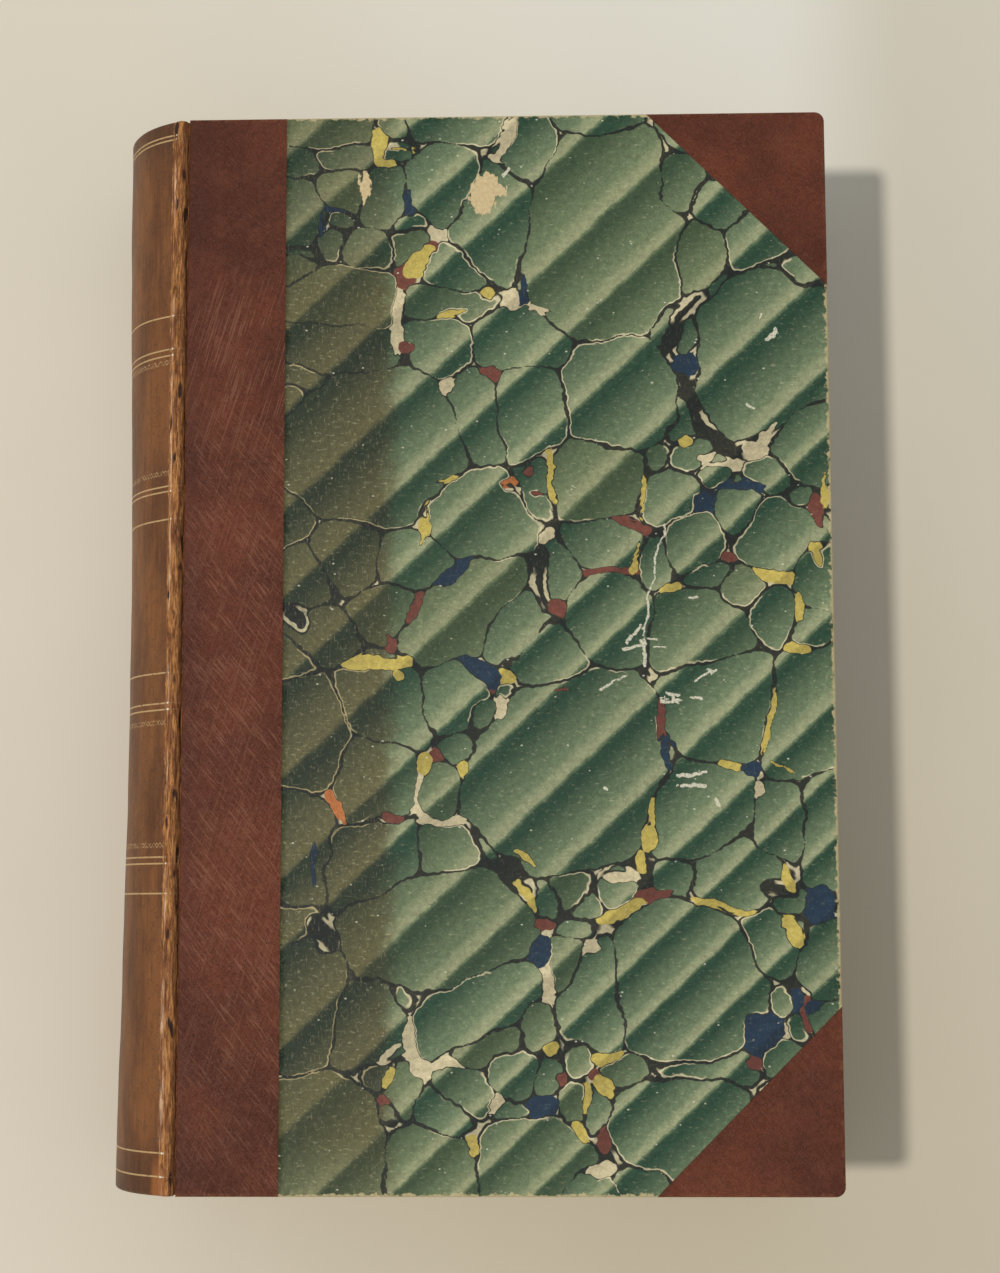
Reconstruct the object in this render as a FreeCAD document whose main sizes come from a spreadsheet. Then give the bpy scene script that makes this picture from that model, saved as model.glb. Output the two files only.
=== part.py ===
import FreeCAD, Part
import os
import Sketcher

# Half-leather hardback book, lying on its back cover.
# +X runs from the spine to the fore-edge, +Y from tail to head, +Z up through the front cover.
# The origin is on the resting face, under the middle of the whole outline.

os.makedirs("parts", exist_ok=True)
doc = FreeCAD.newDocument("half_leather_book")

# Driving sizes in millimetres
drivingSizes = {
    "coverLength": 220.0,        # board from head to tail, covering included
    "coverWidth": 132.0,         # board from the joint groove to the fore-edge
    "overallThick": 42.0,        # closed book, face to face
    "spineBulge": 15.4,          # how far the round spine stands past the joint groove
    "boardThick": 2.4,
    "leatherThick": 0.6,         # leather on the sides of the boards
    "paperThick": 0.2,           # marbled paper, and every turn-in round an edge
    "pastedownThick": 0.2,
    "flyleafThick": 0.2,
    "leafClearance": 0.1,        # closed cover to first leaf
    "squareWidth": 3.0,          # boards past the leaves at head, tail and fore-edge
    "sideStripWidth": 20.5,      # leather that shows beside the joint
    "paperLap": 3.0,             # paper over the edge of the side leather
    "cornerLeg": 37.0,           # leather corner, measured along the board's edge
    "cornerLap": 2.5,            # paper over the long edge of a corner
    "turnInWidth": 15.0,
    "pastedownMargin": 3.0,      # turn-ins that show round the paste-down
    "cornerRadius": 2.0,         # board corner in plan
    "edgeRadius": 0.7,           # rounding of the covered board edges
    "ridgeWidth": 3.3,           # raised joint ridge beside the groove
    "ridgeDrop": 0.35,           # ridge top below the cover's face
    "archDrop": 1.2,             # end of the spine's curve below the cover's face
    "grooveDrop": 1.3,           # bottom of the joint groove below the cover's face
    "jointClearance": 0.1,       # each side of the split in the joint leather
    "boardGap": 0.7,             # joint groove to the board's own spine edge
    "spineLeatherThick": 0.9,
    "capThick": 1.0,             # leather turned over each endband
    "capRound": 0.6,             # rounding of the caps' outer edge
    "capMargin": 1.5,            # cap ends short of the spine's curve
    "inlayThick": 0.5,           # card that stiffens the loose spine leather
    "inlayMargin": 2.5,
    "hollowGap": 0.4,            # air between the inlay and the lined back of the leaves
    "liningThick": 0.5,
    "liningMargin": 3.0,
    "liningInset": 12.0,         # lining ends short of the leaves at head and tail
    "glueGap": 0.05,
    "foreHollow": 4.0,           # hollow of the fore-edge
    "shoulderClearance": 0.15,   # backed shoulder under the ridge leather
    "endbandMargin": 1.5,
    "cordSize": 1.4,             # thickness of a sunk sewing cord
    "cordSpacing": 44.0,
    "kerfClearance": 0.1,
    "cordMargin": 1.0,
    "slipLength": 14.0,          # frayed cord end pasted into the board
    "slipThick": 0.4,
    "slipFan": 4.5,              # width of the frayed end
    "slipClearance": 0.05,
    "leafJointGap": 1.2,         # free leaf starts past the joint groove
}
cordCount = 4

sizes = doc.addObject("Spreadsheet::Sheet", "Sizes")
for row, (word, value) in enumerate(drivingSizes.items(), start=1):
    sizes.set(f"A{row}", word)
    sizes.set(f"B{row}", str(value))
    sizes.setAlias(f"B{row}", word)
doc.recompute()

# Places worked out from the driving sizes, each one a rule in the document
placeRules = {
    "halfLength": "Sizes.coverLength / 2",
    "halfWidth": "(Sizes.coverWidth + Sizes.spineBulge) / 2",
    "middle": "Sizes.overallThick / 2",
    "jointX": "(Sizes.spineBulge - Sizes.coverWidth) / 2",
    "sideStartX": "Places.jointX + Sizes.jointClearance",
    "boardStartX": "Places.jointX + Sizes.boardGap",
    "paperStartX": "Places.jointX + Sizes.sideStripWidth",
    "fillerStartX": "Places.paperStartX + Sizes.paperLap",
    "fillerLeg": "Sizes.cornerLeg + Sizes.cornerLap * sqrt(2)",
    # levels of the front cover, from the outside in
    "faceTop": "Sizes.overallThick",
    "leatherTop": "Places.faceTop - Sizes.paperThick",
    "boardTop": "Places.leatherTop - Sizes.leatherThick",
    "boardLow": "Places.boardTop - Sizes.boardThick",
    "turnInLow": "Places.boardLow - Sizes.paperThick",
    "pastedownLow": "Places.turnInLow - Sizes.pastedownThick",
    "flyleafTop": "Places.pastedownLow - Sizes.leafClearance",
    "blockTop": "Places.flyleafTop - Sizes.flyleafThick",
    # the leaves
    "leafHalf": "Places.halfLength - Sizes.squareWidth",
    "leafEdgeX": "Places.halfWidth - Sizes.squareWidth",
    "leafStartX": "Places.jointX + Sizes.leafJointGap",
    # the round spine: one centre for every curved layer
    "archHalf": "Places.middle - Sizes.archDrop",
    "archRise": "Sizes.spineBulge - Sizes.ridgeWidth",
    "archRadius": "(Places.archHalf ^ 2 + Places.archRise ^ 2) / (2 * Places.archRise)",
    "archX": "Places.archRadius - Places.halfWidth",
    "leatherInner": "Places.archRadius - Sizes.spineLeatherThick",
    "inlayOuter": "Places.leatherInner - Sizes.glueGap",
    "inlayInner": "Places.inlayOuter - Sizes.inlayThick",
    "liningOuter": "Places.inlayInner - Sizes.hollowGap",
    "liningInner": "Places.liningOuter - Sizes.liningThick",
    "blockRadius": "Places.liningInner - Sizes.glueGap",
    "wallMiddle": "(Places.archRadius + Places.leatherInner) / 2",
    "ridgeX": "Places.jointX - Sizes.ridgeWidth",
    "ridgeMidX": "Places.jointX - Sizes.ridgeWidth / 2",
    "ridgeHalf": "Places.middle - Sizes.ridgeDrop",
    "grooveHalf": "Places.middle - Sizes.grooveDrop",
    "splitX": "Places.jointX - Sizes.jointClearance",
    "archSine": "Places.archHalf / Places.archRadius",
    "capSine": "(Places.archHalf - Sizes.capMargin) / Places.archRadius",
    "inlaySine": "(Places.archHalf - Sizes.inlayMargin) / Places.archRadius",
    "liningSine": "(Places.archHalf - Sizes.liningMargin) / Places.archRadius",
    "endbandSine": "(Places.archHalf - Sizes.endbandMargin) / Places.archRadius",
    "cordSine": "(Places.archHalf - Sizes.cordMargin) / Places.archRadius",
    "endbandSize": "Sizes.squareWidth - Sizes.capThick - 2 * Sizes.glueGap",
    "kerfDepth": "Sizes.cordSize + 2 * Sizes.kerfClearance",
    "cordRadius": "Places.blockRadius - Places.kerfDepth / 2",
    "firstCordY": f"-{cordCount - 1} * Sizes.cordSpacing / 2",
}
places = doc.addObject("App::VarSet", "Places")
for word, rule in placeRules.items():
    places.addProperty("App::PropertyFloat", word)
    places.setExpression(word, rule)
doc.recompute()


def number(rule):
    return float(places.evalExpression(rule))


def spot(rules):
    return FreeCAD.Vector(number(rules[0]), number(rules[1]), 0)


# Point at a radius from the spine's centre, on a ray whose sine is named; side is +1 or -1
def onRay(radius, sine, side):
    across = f"Places.archX - {radius} * sqrt(1 - {sine} ^ 2)"
    up = f"Places.middle + {side} * {radius} * {sine}"
    return (across, up)


# Point on the spine's level line, at a radius from its centre
def onLevel(radius):
    return (f"Places.archX - {radius}", "Places.middle")


# Bodies and sketches

def newBody(label):
    body = doc.addObject("PartDesign::Body", label)
    body.Label = label
    return body


def attachSketch(body, name, role, offset=None):
    sketch = body.newObject("Sketcher::SketchObject", name)
    plane = next(face for face in body.Origin.OriginFeatures if face.Role == role)
    sketch.AttachmentSupport = [(plane, "")]
    sketch.MapMode = "FlatFace"
    for axis, rule in (offset or {}).items():
        sketch.setExpression(f"AttachmentOffset.Base.{axis}", rule)
    return sketch


def endOf(sketch, index, point):
    start = sketch.Geometry[index].StartPoint
    return 1 if start.distanceToPoint(point) < 1e-6 else 2


def pinPoint(sketch, index, end, rules):
    for kind, rule in (("DistanceX", rules[0]), ("DistanceY", rules[1])):
        datum = sketch.addConstraint(Sketcher.Constraint(kind, -1, 1, index, end, number(rule)))
        sketch.setExpression(f"Constraints[{datum}]", rule)


# A sketch keeps its arcs anticlockwise, so a clockwise one is drawn from its other end
def arcThrough(first, middle, last):
    anticlockwise = (middle - first).cross(last - middle).z > 0
    if anticlockwise:
        return Part.Arc(first, middle, last)
    return Part.Arc(last, middle, first)


# Closed outline through named corners; a bend turns the side after that corner into an arc
def drawOutline(sketch, corners, bends=None):
    bends = bends or {}
    count = len(corners)
    sides = []
    for place in range(count):
        first = spot(corners[place])
        last = spot(corners[(place + 1) % count])
        if place in bends:
            side = arcThrough(first, spot(bends[place]), last)
        else:
            side = Part.LineSegment(first, last)
        sides.append(sketch.addGeometry(side, False))
    for place, side in enumerate(sides):
        corner = spot(corners[place])
        before = sides[place - 1]
        here = endOf(sketch, side, corner)
        there = endOf(sketch, before, corner)
        sketch.addConstraint(Sketcher.Constraint("Coincident", before, there, side, here))
        pinPoint(sketch, side, here, corners[place])
        if place in bends:
            middle = sketch.addGeometry(Part.Point(spot(bends[place])), True)
            sketch.addConstraint(Sketcher.Constraint("PointOnObject", middle, 1, side))
            pinPoint(sketch, middle, 1, bends[place])


# Six-sided section of a cord, with its corners on a circle of the named size
def drawHexagon(sketch, centreX, centreY, size):
    across = f"({size}) / 2"
    rise = f"({size}) / 2 * sqrt(0.75)"
    drawOutline(sketch, [
        (f"{centreX} + {across}", centreY),
        (f"{centreX} + {across} / 2", f"{centreY} + {rise}"),
        (f"{centreX} - {across} / 2", f"{centreY} + {rise}"),
        (f"{centreX} - {across}", centreY),
        (f"{centreX} - {across} / 2", f"{centreY} - {rise}"),
        (f"{centreX} + {across} / 2", f"{centreY} - {rise}"),
    ])


def addPad(body, name, sketch, length, symmetric=False):
    pad = body.newObject("PartDesign::Pad", name)
    pad.Profile = sketch
    pad.SideType = "Symmetric" if symmetric else "One side"
    pad.setExpression("Length", length)
    return pad


# Ring or kerf that follows the spine's curve: the sketch plane lies level on the spine's centre line
def addTurn(body, kind, name, sketch, sine):
    turn = body.newObject(f"PartDesign::{kind}", name)
    turn.Profile = sketch
    turn.ReferenceAxis = (sketch, ["V_Axis"])
    turn.setExpression("Angle", f"2 * asin({sine})")
    turn.Midplane = True
    return turn


def levelSketch(body, name):
    return attachSketch(body, name, "XY_Plane", {"x": "Places.archX", "z": "Places.middle"})


# Upright prism between two levels
def prism(label, corners, low, high, bends=None):
    body = newBody(label)
    sketch = attachSketch(body, f"{label}_outline", "XY_Plane", {"z": low})
    drawOutline(sketch, corners, bends)
    addPad(body, f"{label}_pad", sketch, f"{high} - ({low})")
    return body


def box(label, spanX, spanY, spanZ):
    block = doc.addObject("Part::Box", label)
    spans = (("Length", "x", spanX), ("Width", "y", spanY), ("Height", "z", spanZ))
    for size, axis, (low, high) in spans:
        block.setExpression(size, f"({high}) - ({low})")
        block.setExpression(f"Placement.Base.{axis}", low)
    return block


def cut(label, base, tool):
    result = doc.addObject("Part::Cut", label)
    result.Base = base
    result.Tool = tool
    return result


def common(label, base, tool):
    result = doc.addObject("Part::Common", label)
    result.Base = base
    result.Tool = tool
    return result


def both(rule):
    return (f"-({rule})", rule)


# Edges of a blank at one level; a bare board keeps the edge at its spine side square
def levelEdges(feature, level, spineSideX=None):
    names = []
    for index, edge in enumerate(feature.Shape.Edges, start=1):
        bounds = edge.BoundBox
        atLevel = max(abs(bounds.ZMin - level), abs(bounds.ZMax - level)) < 1e-4
        atSpine = spineSideX is not None and bounds.XMax - spineSideX < 1e-4
        if atLevel and not atSpine:
            names.append(f"Edge{index}")
    return names


# Board outline with rounded fore-edge corners, inset all round and softened above and below
def coverBlank(label, startX, inset, low, high, topRadius, squareSpineSide=False):
    endX = f"(Places.halfWidth - {inset})"
    endY = f"(Places.halfLength - {inset})"
    radius = f"(Sizes.cornerRadius - {inset})"
    shy = f"{radius} * (1 - sqrt(0.5))"
    corners = [
        (startX, f"-{endY}"),
        (f"{endX} - {radius}", f"-{endY}"),
        (endX, f"-{endY} + {radius}"),
        (endX, f"{endY} - {radius}"),
        (f"{endX} - {radius}", endY),
        (startX, endY),
    ]
    bends = {
        1: (f"{endX} - {shy}", f"-{endY} + {shy}"),
        3: (f"{endX} - {shy}", f"{endY} - {shy}"),
    }
    body = prism(label, corners, low, high, bends)
    keptX = number(startX) if squareSpineSide else None
    for end, level, softness in (("low", low, f"Sizes.edgeRadius - {inset}"), ("top", high, topRadius)):
        doc.recompute()
        before = body.Tip
        soft = body.newObject("PartDesign::Fillet", f"{label}_{end}_edges")
        soft.Base = (before, levelEdges(before, number(level), keptX))
        soft.setExpression("Radius", softness)
    return body


# The leaves: one sewn block with a hollow fore-edge, a round back and a shoulder at each joint

def textBlock():
    body = newBody("text_block")
    sketch = attachSketch(body, "block_section", "XZ_Plane")
    tip = "(Places.ridgeHalf - Sizes.spineLeatherThick - Sizes.shoulderClearance)"
    flank = "(Places.grooveHalf - Sizes.spineLeatherThick - 2 * Sizes.shoulderClearance)"
    blockLow = "Sizes.overallThick - Places.blockTop"
    corners = [
        onRay("Places.blockRadius", "Places.archSine", 1),
        ("Places.ridgeMidX", f"Places.middle + {tip}"),
        ("Places.splitX", f"Places.middle + {flank}"),
        ("Places.boardStartX", "Places.blockTop"),
        ("Places.leafEdgeX", "Places.blockTop"),
        ("Places.leafEdgeX", blockLow),
        ("Places.boardStartX", blockLow),
        ("Places.splitX", f"Places.middle - {flank}"),
        ("Places.ridgeMidX", f"Places.middle - {tip}"),
        onRay("Places.blockRadius", "Places.archSine", -1),
    ]
    bends = {
        4: ("Places.leafEdgeX - Sizes.foreHollow", "Places.middle"),
        9: onLevel("Places.blockRadius"),
    }
    drawOutline(sketch, corners, bends)
    addPad(body, "leaves", sketch, "2 * Places.leafHalf", symmetric=True)

    kerf = levelSketch(body, "kerf_section")
    halfKerf = "(Sizes.cordSize / 2 + Sizes.kerfClearance)"
    kerfBottom = "-(Places.blockRadius - Places.kerfDepth)"
    kerfMouth = "-(Places.blockRadius + Sizes.kerfClearance)"
    drawOutline(kerf, [
        (kerfBottom, f"Places.firstCordY - {halfKerf}"),
        (kerfBottom, f"Places.firstCordY + {halfKerf}"),
        (kerfMouth, f"Places.firstCordY + {halfKerf}"),
        (kerfMouth, f"Places.firstCordY - {halfKerf}"),
    ])
    groove = addTurn(body, "Groove", "kerf", kerf, "Places.archSine")
    patternAlongBack(body, "kerfs", groove, kerf)
    return body


# Repeats a feature at every sewing station along the back
def patternAlongBack(body, name, feature, sketch):
    pattern = body.newObject("PartDesign::LinearPattern", name)
    pattern.Originals = [feature]
    pattern.Direction = (sketch, ["V_Axis"])
    pattern.Mode = "Spacing"
    pattern.setExpression("Offset", "Sizes.cordSpacing")
    pattern.Occurrences = cordCount
    body.Tip = pattern


# Cords sunk in the kerfs, one solid for each station
def sewingCords():
    body = newBody("sewing_cords")
    sketch = levelSketch(body, "cord_section")
    drawHexagon(sketch, "-Places.cordRadius", "Places.firstCordY", "Sizes.cordSize")
    cord = addTurn(body, "Revolution", "cord", sketch, "Places.cordSine")
    patternAlongBack(body, "cords", cord, sketch)
    return body


# Curved sheet between two radii of the spine
def curvedSheet(label, outer, inner, sine, halfLength):
    body = newBody(label)
    sketch = attachSketch(body, f"{label}_section", "XZ_Plane")
    drawRing(sketch, outer, inner, sine)
    addPad(body, f"{label}_sheet", sketch, f"2 * ({halfLength})", symmetric=True)
    return body


def drawRing(sketch, outer, inner, sine):
    corners = [
        onRay(outer, sine, 1),
        onRay(inner, sine, 1),
        onRay(inner, sine, -1),
        onRay(outer, sine, -1),
    ]
    drawOutline(sketch, corners, {1: onLevel(inner), 3: onLevel(outer)})


# Spine leather: one curved skin with a ridge at each joint and a cap turned over each endband

def spineLeather():
    body = newBody("spine_leather")
    sketch = attachSketch(body, "leather_section", "XZ_Plane")
    wall = "Sizes.spineLeatherThick"

    def ridge(side):
        return {
            "groove": ("Places.splitX", f"Places.middle + {side} * Places.grooveHalf"),
            "top": ("Places.ridgeMidX", f"Places.middle + {side} * Places.ridgeHalf"),
            "foot": ("Places.ridgeX", f"Places.middle + {side} * Places.archHalf"),
            "grooveIn": ("Places.splitX", f"Places.middle + {side} * (Places.grooveHalf - {wall})"),
            "topIn": ("Places.ridgeMidX", f"Places.middle + {side} * (Places.ridgeHalf - {wall})"),
            "footIn": onRay("Places.leatherInner", "Places.archSine", side),
        }

    upper = ridge(1)
    lower = ridge(-1)
    corners = [
        upper["groove"], upper["foot"], lower["foot"], lower["groove"],
        lower["grooveIn"], lower["footIn"], upper["footIn"], upper["grooveIn"],
    ]
    bends = {
        0: upper["top"],
        1: onLevel("Places.archRadius"),
        2: lower["top"],
        4: lower["topIn"],
        5: onLevel("Places.leatherInner"),
        6: upper["topIn"],
    }
    drawOutline(sketch, corners, bends)
    addPad(body, "leather_skin", sketch, "Sizes.coverLength", symmetric=True)

    for label, start in (("head_cap", "-Places.halfLength"), ("tail_cap", "Places.halfLength - Sizes.capThick")):
        capSketch = attachSketch(body, f"{label}_section", "XZ_Plane", {"z": start})
        drawRing(capSketch, "Places.wallMiddle", "Places.blockRadius", "Places.capSine")
        addPad(body, label, capSketch, "Sizes.capThick")

    for end, side in (("head", "1"), ("tail", "-1")):
        roundCap(body, f"{end}_cap_rounding", side)
    return body


# Takes the sharp outer edge off a cap, all round the spine's curve
def roundCap(body, name, side):
    sketch = levelSketch(body, f"{name}_section")
    face = "-Places.archRadius"
    end = f"{side} * Places.halfLength"
    startY = f"{end} - {side} * Sizes.capRound"
    endX = f"{face} + Sizes.capRound"
    pastX = f"{face} - Sizes.capRound"
    pastY = f"{end} + {side} * Sizes.capRound"
    shy = "Sizes.capRound * (1 - sqrt(0.5))"
    drawOutline(sketch, [
        (face, startY),
        (pastX, startY),
        (pastX, pastY),
        (endX, pastY),
        (endX, end),
    ], {4: (f"{face} + {shy}", f"{end} - {side} * {shy}")})
    addTurn(body, "Groove", name, sketch, "Places.archSine")


# Endband: a wrapped core that lies on the leaves under the cap, from shoulder to shoulder
def endband(label, side):
    body = newBody(label)
    sketch = levelSketch(body, f"{label}_section")
    along = f"{side} * (Places.leafHalf + Sizes.glueGap + Places.endbandSize / 2)"
    drawHexagon(sketch, "-Places.blockRadius", along, "Places.endbandSize")
    addTurn(body, "Revolution", f"{label}_core", sketch, "Places.endbandSine")
    return body


# Free leaf beside a cover, part of the text block's body
def flyleaf(label, low):
    spanX = ("Places.leafStartX", "Places.leafEdgeX")
    return box(label, spanX, both("Places.leafHalf"), (low, f"{low} + Sizes.flyleafThick"))


# Plan outlines of the covering on the boards; reach runs past the board so that cuts are clean

reach = "Sizes.edgeRadius"


# Everything from a start line to the fore-edge, without the two corners
def cornerlessPlan(startX, leg):
    endX = "Places.halfWidth"
    endY = "Places.halfLength"
    return [
        (startX, f"-{endY} - {reach}"),
        (f"{endX} - {leg} - {reach}", f"-{endY} - {reach}"),
        (f"{endX} + {reach}", f"-{endY} + {leg} + {reach}"),
        (f"{endX} + {reach}", f"{endY} - {leg} - {reach}"),
        (f"{endX} - {leg} - {reach}", f"{endY} + {reach}"),
        (startX, f"{endY} + {reach}"),
    ]


def cornerPlan(side, leg):
    endX = "Places.halfWidth"
    endY = "Places.halfLength"
    return [
        (f"{endX} - {leg} - {reach}", f"{side} * ({endY} + {reach})"),
        (f"{endX} + {reach}", f"{side} * ({endY} + {reach})"),
        (f"{endX} + {reach}", f"{side} * ({endY} - {leg} - {reach})"),
    ]


# Frayed cord ends: thin fans let into the inside of the board
def cordFans(label, clearance):
    body = newBody(label)
    sketch = attachSketch(body, f"{label}_plan", "XY_Plane", {"z": "Places.boardLow"})
    endX = f"Places.boardStartX + Sizes.slipLength + {clearance}"
    rootHalf = f"(Sizes.cordSize / 2 + {clearance})"
    fanHalf = f"(Sizes.slipFan / 2 + {clearance})"
    drawOutline(sketch, [
        ("Places.boardStartX", f"Places.firstCordY - {rootHalf}"),
        (endX, f"Places.firstCordY - {fanHalf}"),
        (endX, f"Places.firstCordY + {fanHalf}"),
        ("Places.boardStartX", f"Places.firstCordY + {rootHalf}"),
    ])
    fan = addPad(body, f"{label}_fan", sketch, "Sizes.slipThick")
    patternAlongBack(body, f"{label}_fans", fan, sketch)
    return body


# Front cover: a board wrapped at the spine side and the corners in leather, the rest in paper

def frontCover():
    thinSkin = "Sizes.paperThick"
    fullRound = "Sizes.edgeRadius"
    underPaper = f"{fullRound} - {thinSkin}"
    core = coverBlank("cover_core", "Places.boardStartX", thinSkin,
                      "Places.boardLow", "Places.leatherTop", underPaper, squareSpineSide=True)
    skin = coverBlank("paper_blank", "Places.sideStartX", "0",
                      "Places.turnInLow", "Places.faceTop", fullRound)
    hide = coverBlank("leather_blank", "Places.sideStartX", "0",
                      "Places.turnInLow", "Places.leatherTop", underPaper)

    acrossX = ("Places.jointX - Sizes.turnInWidth", "Places.halfWidth - Sizes.turnInWidth")
    acrossY = both("Places.halfLength - Sizes.turnInWidth")
    window = box("turn_in_window", acrossX, acrossY, ("Places.pastedownLow", "Places.boardLow"))

    wideX = ("Places.jointX - Sizes.turnInWidth", "Places.halfWidth + Sizes.turnInWidth")
    wideY = both("Places.halfLength + Sizes.turnInWidth")
    boardSpace = box("board_space", wideX, wideY, ("Places.pastedownLow", "Places.boardTop"))
    plainBoard = common("plain_board", core, boardSpace)
    fanPocket = cordFans("fan_pocket", "Sizes.slipClearance")
    board = cut("front_board", plainBoard, fanPocket)
    slips = cordFans("front_cord_slips", "0")

    spanZ = ("Places.pastedownLow", "Places.faceTop + Sizes.edgeRadius")
    paperZone = prism("paper_zone", cornerlessPlan("Places.paperStartX", "Sizes.cornerLeg"), *spanZ)
    paperSolid = common("paper_solid", skin, paperZone)
    paperSkin = cut("paper_skin", paperSolid, core)
    paper = cut("front_marbled_paper", paperSkin, window)

    leatherPieces = []
    sideX = ("Places.jointX - Sizes.boardGap", "Places.fillerStartX")
    sideZone = box("side_zone", sideX, wideY, spanZ)
    zones = [("front_leather_side", sideZone)]
    for end, side in (("head", "1"), ("tail", "-1")):
        plan = cornerPlan(side, "Places.fillerLeg")
        zones.append((f"front_corner_{end}", prism(f"corner_{end}_zone", plan, *spanZ)))
    for label, zone in zones:
        solid = common(f"{label}_solid", hide, zone)
        offBoard = cut(f"{label}_over_board", solid, plainBoard)
        offPaper = cut(f"{label}_under_paper", offBoard, paper)
        if zone is sideZone:
            opened = cut(f"{label}_opened", offPaper, window)
            below = ("Places.pastedownLow", "Places.faceTop - Sizes.grooveDrop")
            besideBoard = box("joint_space", ("Places.jointX", "Places.boardStartX"), wideY, below)
            piece = cut(label, opened, besideBoard)
        else:
            piece = cut(label, offPaper, window)
        leatherPieces.append(piece)

    fillerSpan = ("Places.boardTop", "Places.faceTop")
    fillerZone = prism("filler_zone", cornerlessPlan("Places.fillerStartX", "Places.fillerLeg"), *fillerSpan)
    filler = common("front_filler", core, fillerZone)

    marginX = ("Places.boardStartX", "Places.halfWidth - Sizes.pastedownMargin")
    marginY = both("Places.halfLength - Sizes.pastedownMargin")
    sheet = box("pastedown_sheet", marginX, marginY, ("Places.pastedownLow", "Places.turnInLow"))
    infillX = ("Places.boardStartX", "Places.halfWidth - Sizes.turnInWidth")
    infill = box("pastedown_infill", infillX, acrossY, ("Places.turnInLow", "Places.boardLow"))
    pastedown = doc.addObject("Part::Fuse", "front_pastedown")
    pastedown.Base = sheet
    pastedown.Tool = infill

    return [board, slips, *leatherPieces, filler, paper, pastedown]


# The back cover is the front cover's mirror image in the middle of the book's thickness
def mirrored(piece):
    copy = doc.addObject("Part::Mirroring", piece.Label.replace("front_", "back_"))
    copy.Source = piece
    copy.Normal = FreeCAD.Vector(0, 0, 1)
    copy.setExpression("Base.z", "Places.middle")
    return copy


def checkDocument(pieces):
    doc.recompute()
    for item in doc.Objects:
        if "Invalid" in item.State or "Error" in item.State:
            raise RuntimeError(f"{item.Label} did not build: {item.State}")
    for piece in pieces:
        if piece.Shape.isNull() or not piece.Shape.isValid():
            raise RuntimeError(f"{piece.Label} has no valid shape")


frontPieces = frontCover()
pieces = [
    textBlock(),
    sewingCords(),
    curvedSheet("spine_lining", "Places.liningOuter", "Places.liningInner",
                "Places.liningSine", "Places.leafHalf - Sizes.liningInset"),
    curvedSheet("spine_inlay", "Places.inlayOuter", "Places.inlayInner",
                "Places.inlaySine", "Places.halfLength - Sizes.capThick - Sizes.glueGap"),
    spineLeather(),
    endband("head_endband", "1"),
    endband("tail_endband", "-1"),
    flyleaf("front_flyleaf", "Places.blockTop"),
    flyleaf("back_flyleaf", "Sizes.overallThick - Places.flyleafTop"),
    *frontPieces,
    *[mirrored(piece) for piece in frontPieces],
]
checkDocument(pieces)

for piece in pieces:
    piece.Shape.exportStep(f"parts/{piece.Label}.step")
    extent = piece.Shape.BoundBox
    print(f"{piece.Label:22} {len(piece.Shape.Solids)} solid(s) {piece.Shape.Volume:10.1f} mm3"
          f"  x {extent.XMin:.2f} {extent.XMax:.2f}  y {extent.YMin:.2f} {extent.YMax:.2f}"
          f"  z {extent.ZMin:.2f} {extent.ZMax:.2f}")
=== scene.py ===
import math
from functools import reduce
import bpy
import numpy as np
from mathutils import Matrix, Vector
from mathutils.geometry import delaunay_2d_cdt


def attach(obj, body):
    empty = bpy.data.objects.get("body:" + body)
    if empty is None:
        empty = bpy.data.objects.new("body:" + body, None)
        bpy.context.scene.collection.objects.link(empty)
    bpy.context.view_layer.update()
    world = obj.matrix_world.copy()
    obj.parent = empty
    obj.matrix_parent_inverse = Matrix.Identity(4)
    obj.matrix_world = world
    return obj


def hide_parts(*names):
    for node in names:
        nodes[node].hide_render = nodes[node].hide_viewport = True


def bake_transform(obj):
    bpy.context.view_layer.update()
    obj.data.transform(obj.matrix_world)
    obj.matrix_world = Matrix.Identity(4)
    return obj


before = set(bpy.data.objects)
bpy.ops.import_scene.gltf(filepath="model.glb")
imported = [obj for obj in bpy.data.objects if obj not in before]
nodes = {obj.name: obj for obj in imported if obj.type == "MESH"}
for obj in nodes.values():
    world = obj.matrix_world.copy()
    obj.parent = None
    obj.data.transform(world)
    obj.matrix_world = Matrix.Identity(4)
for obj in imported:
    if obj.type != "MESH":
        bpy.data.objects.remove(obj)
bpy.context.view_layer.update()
print("frame loaded:", len(nodes), "nodes")

# Sizes of the book in millimetres, as built
book = {
    "halfLength": 110.0,
    "foreEdge": 73.7,
    "thick": 42.0,
    "middle": 21.0,
    "leafHalf": 107.0,
    "leafEdge": 70.7,
    "archX": -51.45,
    "archRadius": 22.25,
}


# Node helpers

def tone(red, green, blue):
    channels = [value / 255 for value in (red, green, blue)]
    return tuple(c / 12.92 if c < 0.04045 else ((c + 0.055) / 1.055) ** 2.4 for c in channels) + (1.0,)


# One output of a node, so that a sum of shader values is written as a plain sum
class Value:
    def __init__(self, tree, socket):
        self.tree = tree
        self.socket = socket

    def __add__(self, other):
        return calc("ADD", self, other)

    def __sub__(self, other):
        return calc("SUBTRACT", self, other)

    def __rsub__(self, other):
        return calc("SUBTRACT", other, self)

    def __mul__(self, other):
        return calc("MULTIPLY", self, other)

    def __truediv__(self, other):
        return calc("DIVIDE", self, other)

    def __abs__(self):
        return calc("ABSOLUTE", self)


def connect(tree, node, inputs):
    for name, value in inputs.items():
        value = getattr(value, "socket", value)
        if isinstance(value, bpy.types.NodeSocket):
            tree.links.new(value, node.inputs[name])
        else:
            node.inputs[name].default_value = value


def addNode(tree, kind, inputs=None, **settings):
    made = tree.nodes.new("ShaderNode" + kind)
    for name, value in settings.items():
        setattr(made, name, value)
    connect(tree, made, inputs or {})
    return made


def treeOf(inputs):
    return next(value.tree for value in inputs.values() if isinstance(value, Value))


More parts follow.
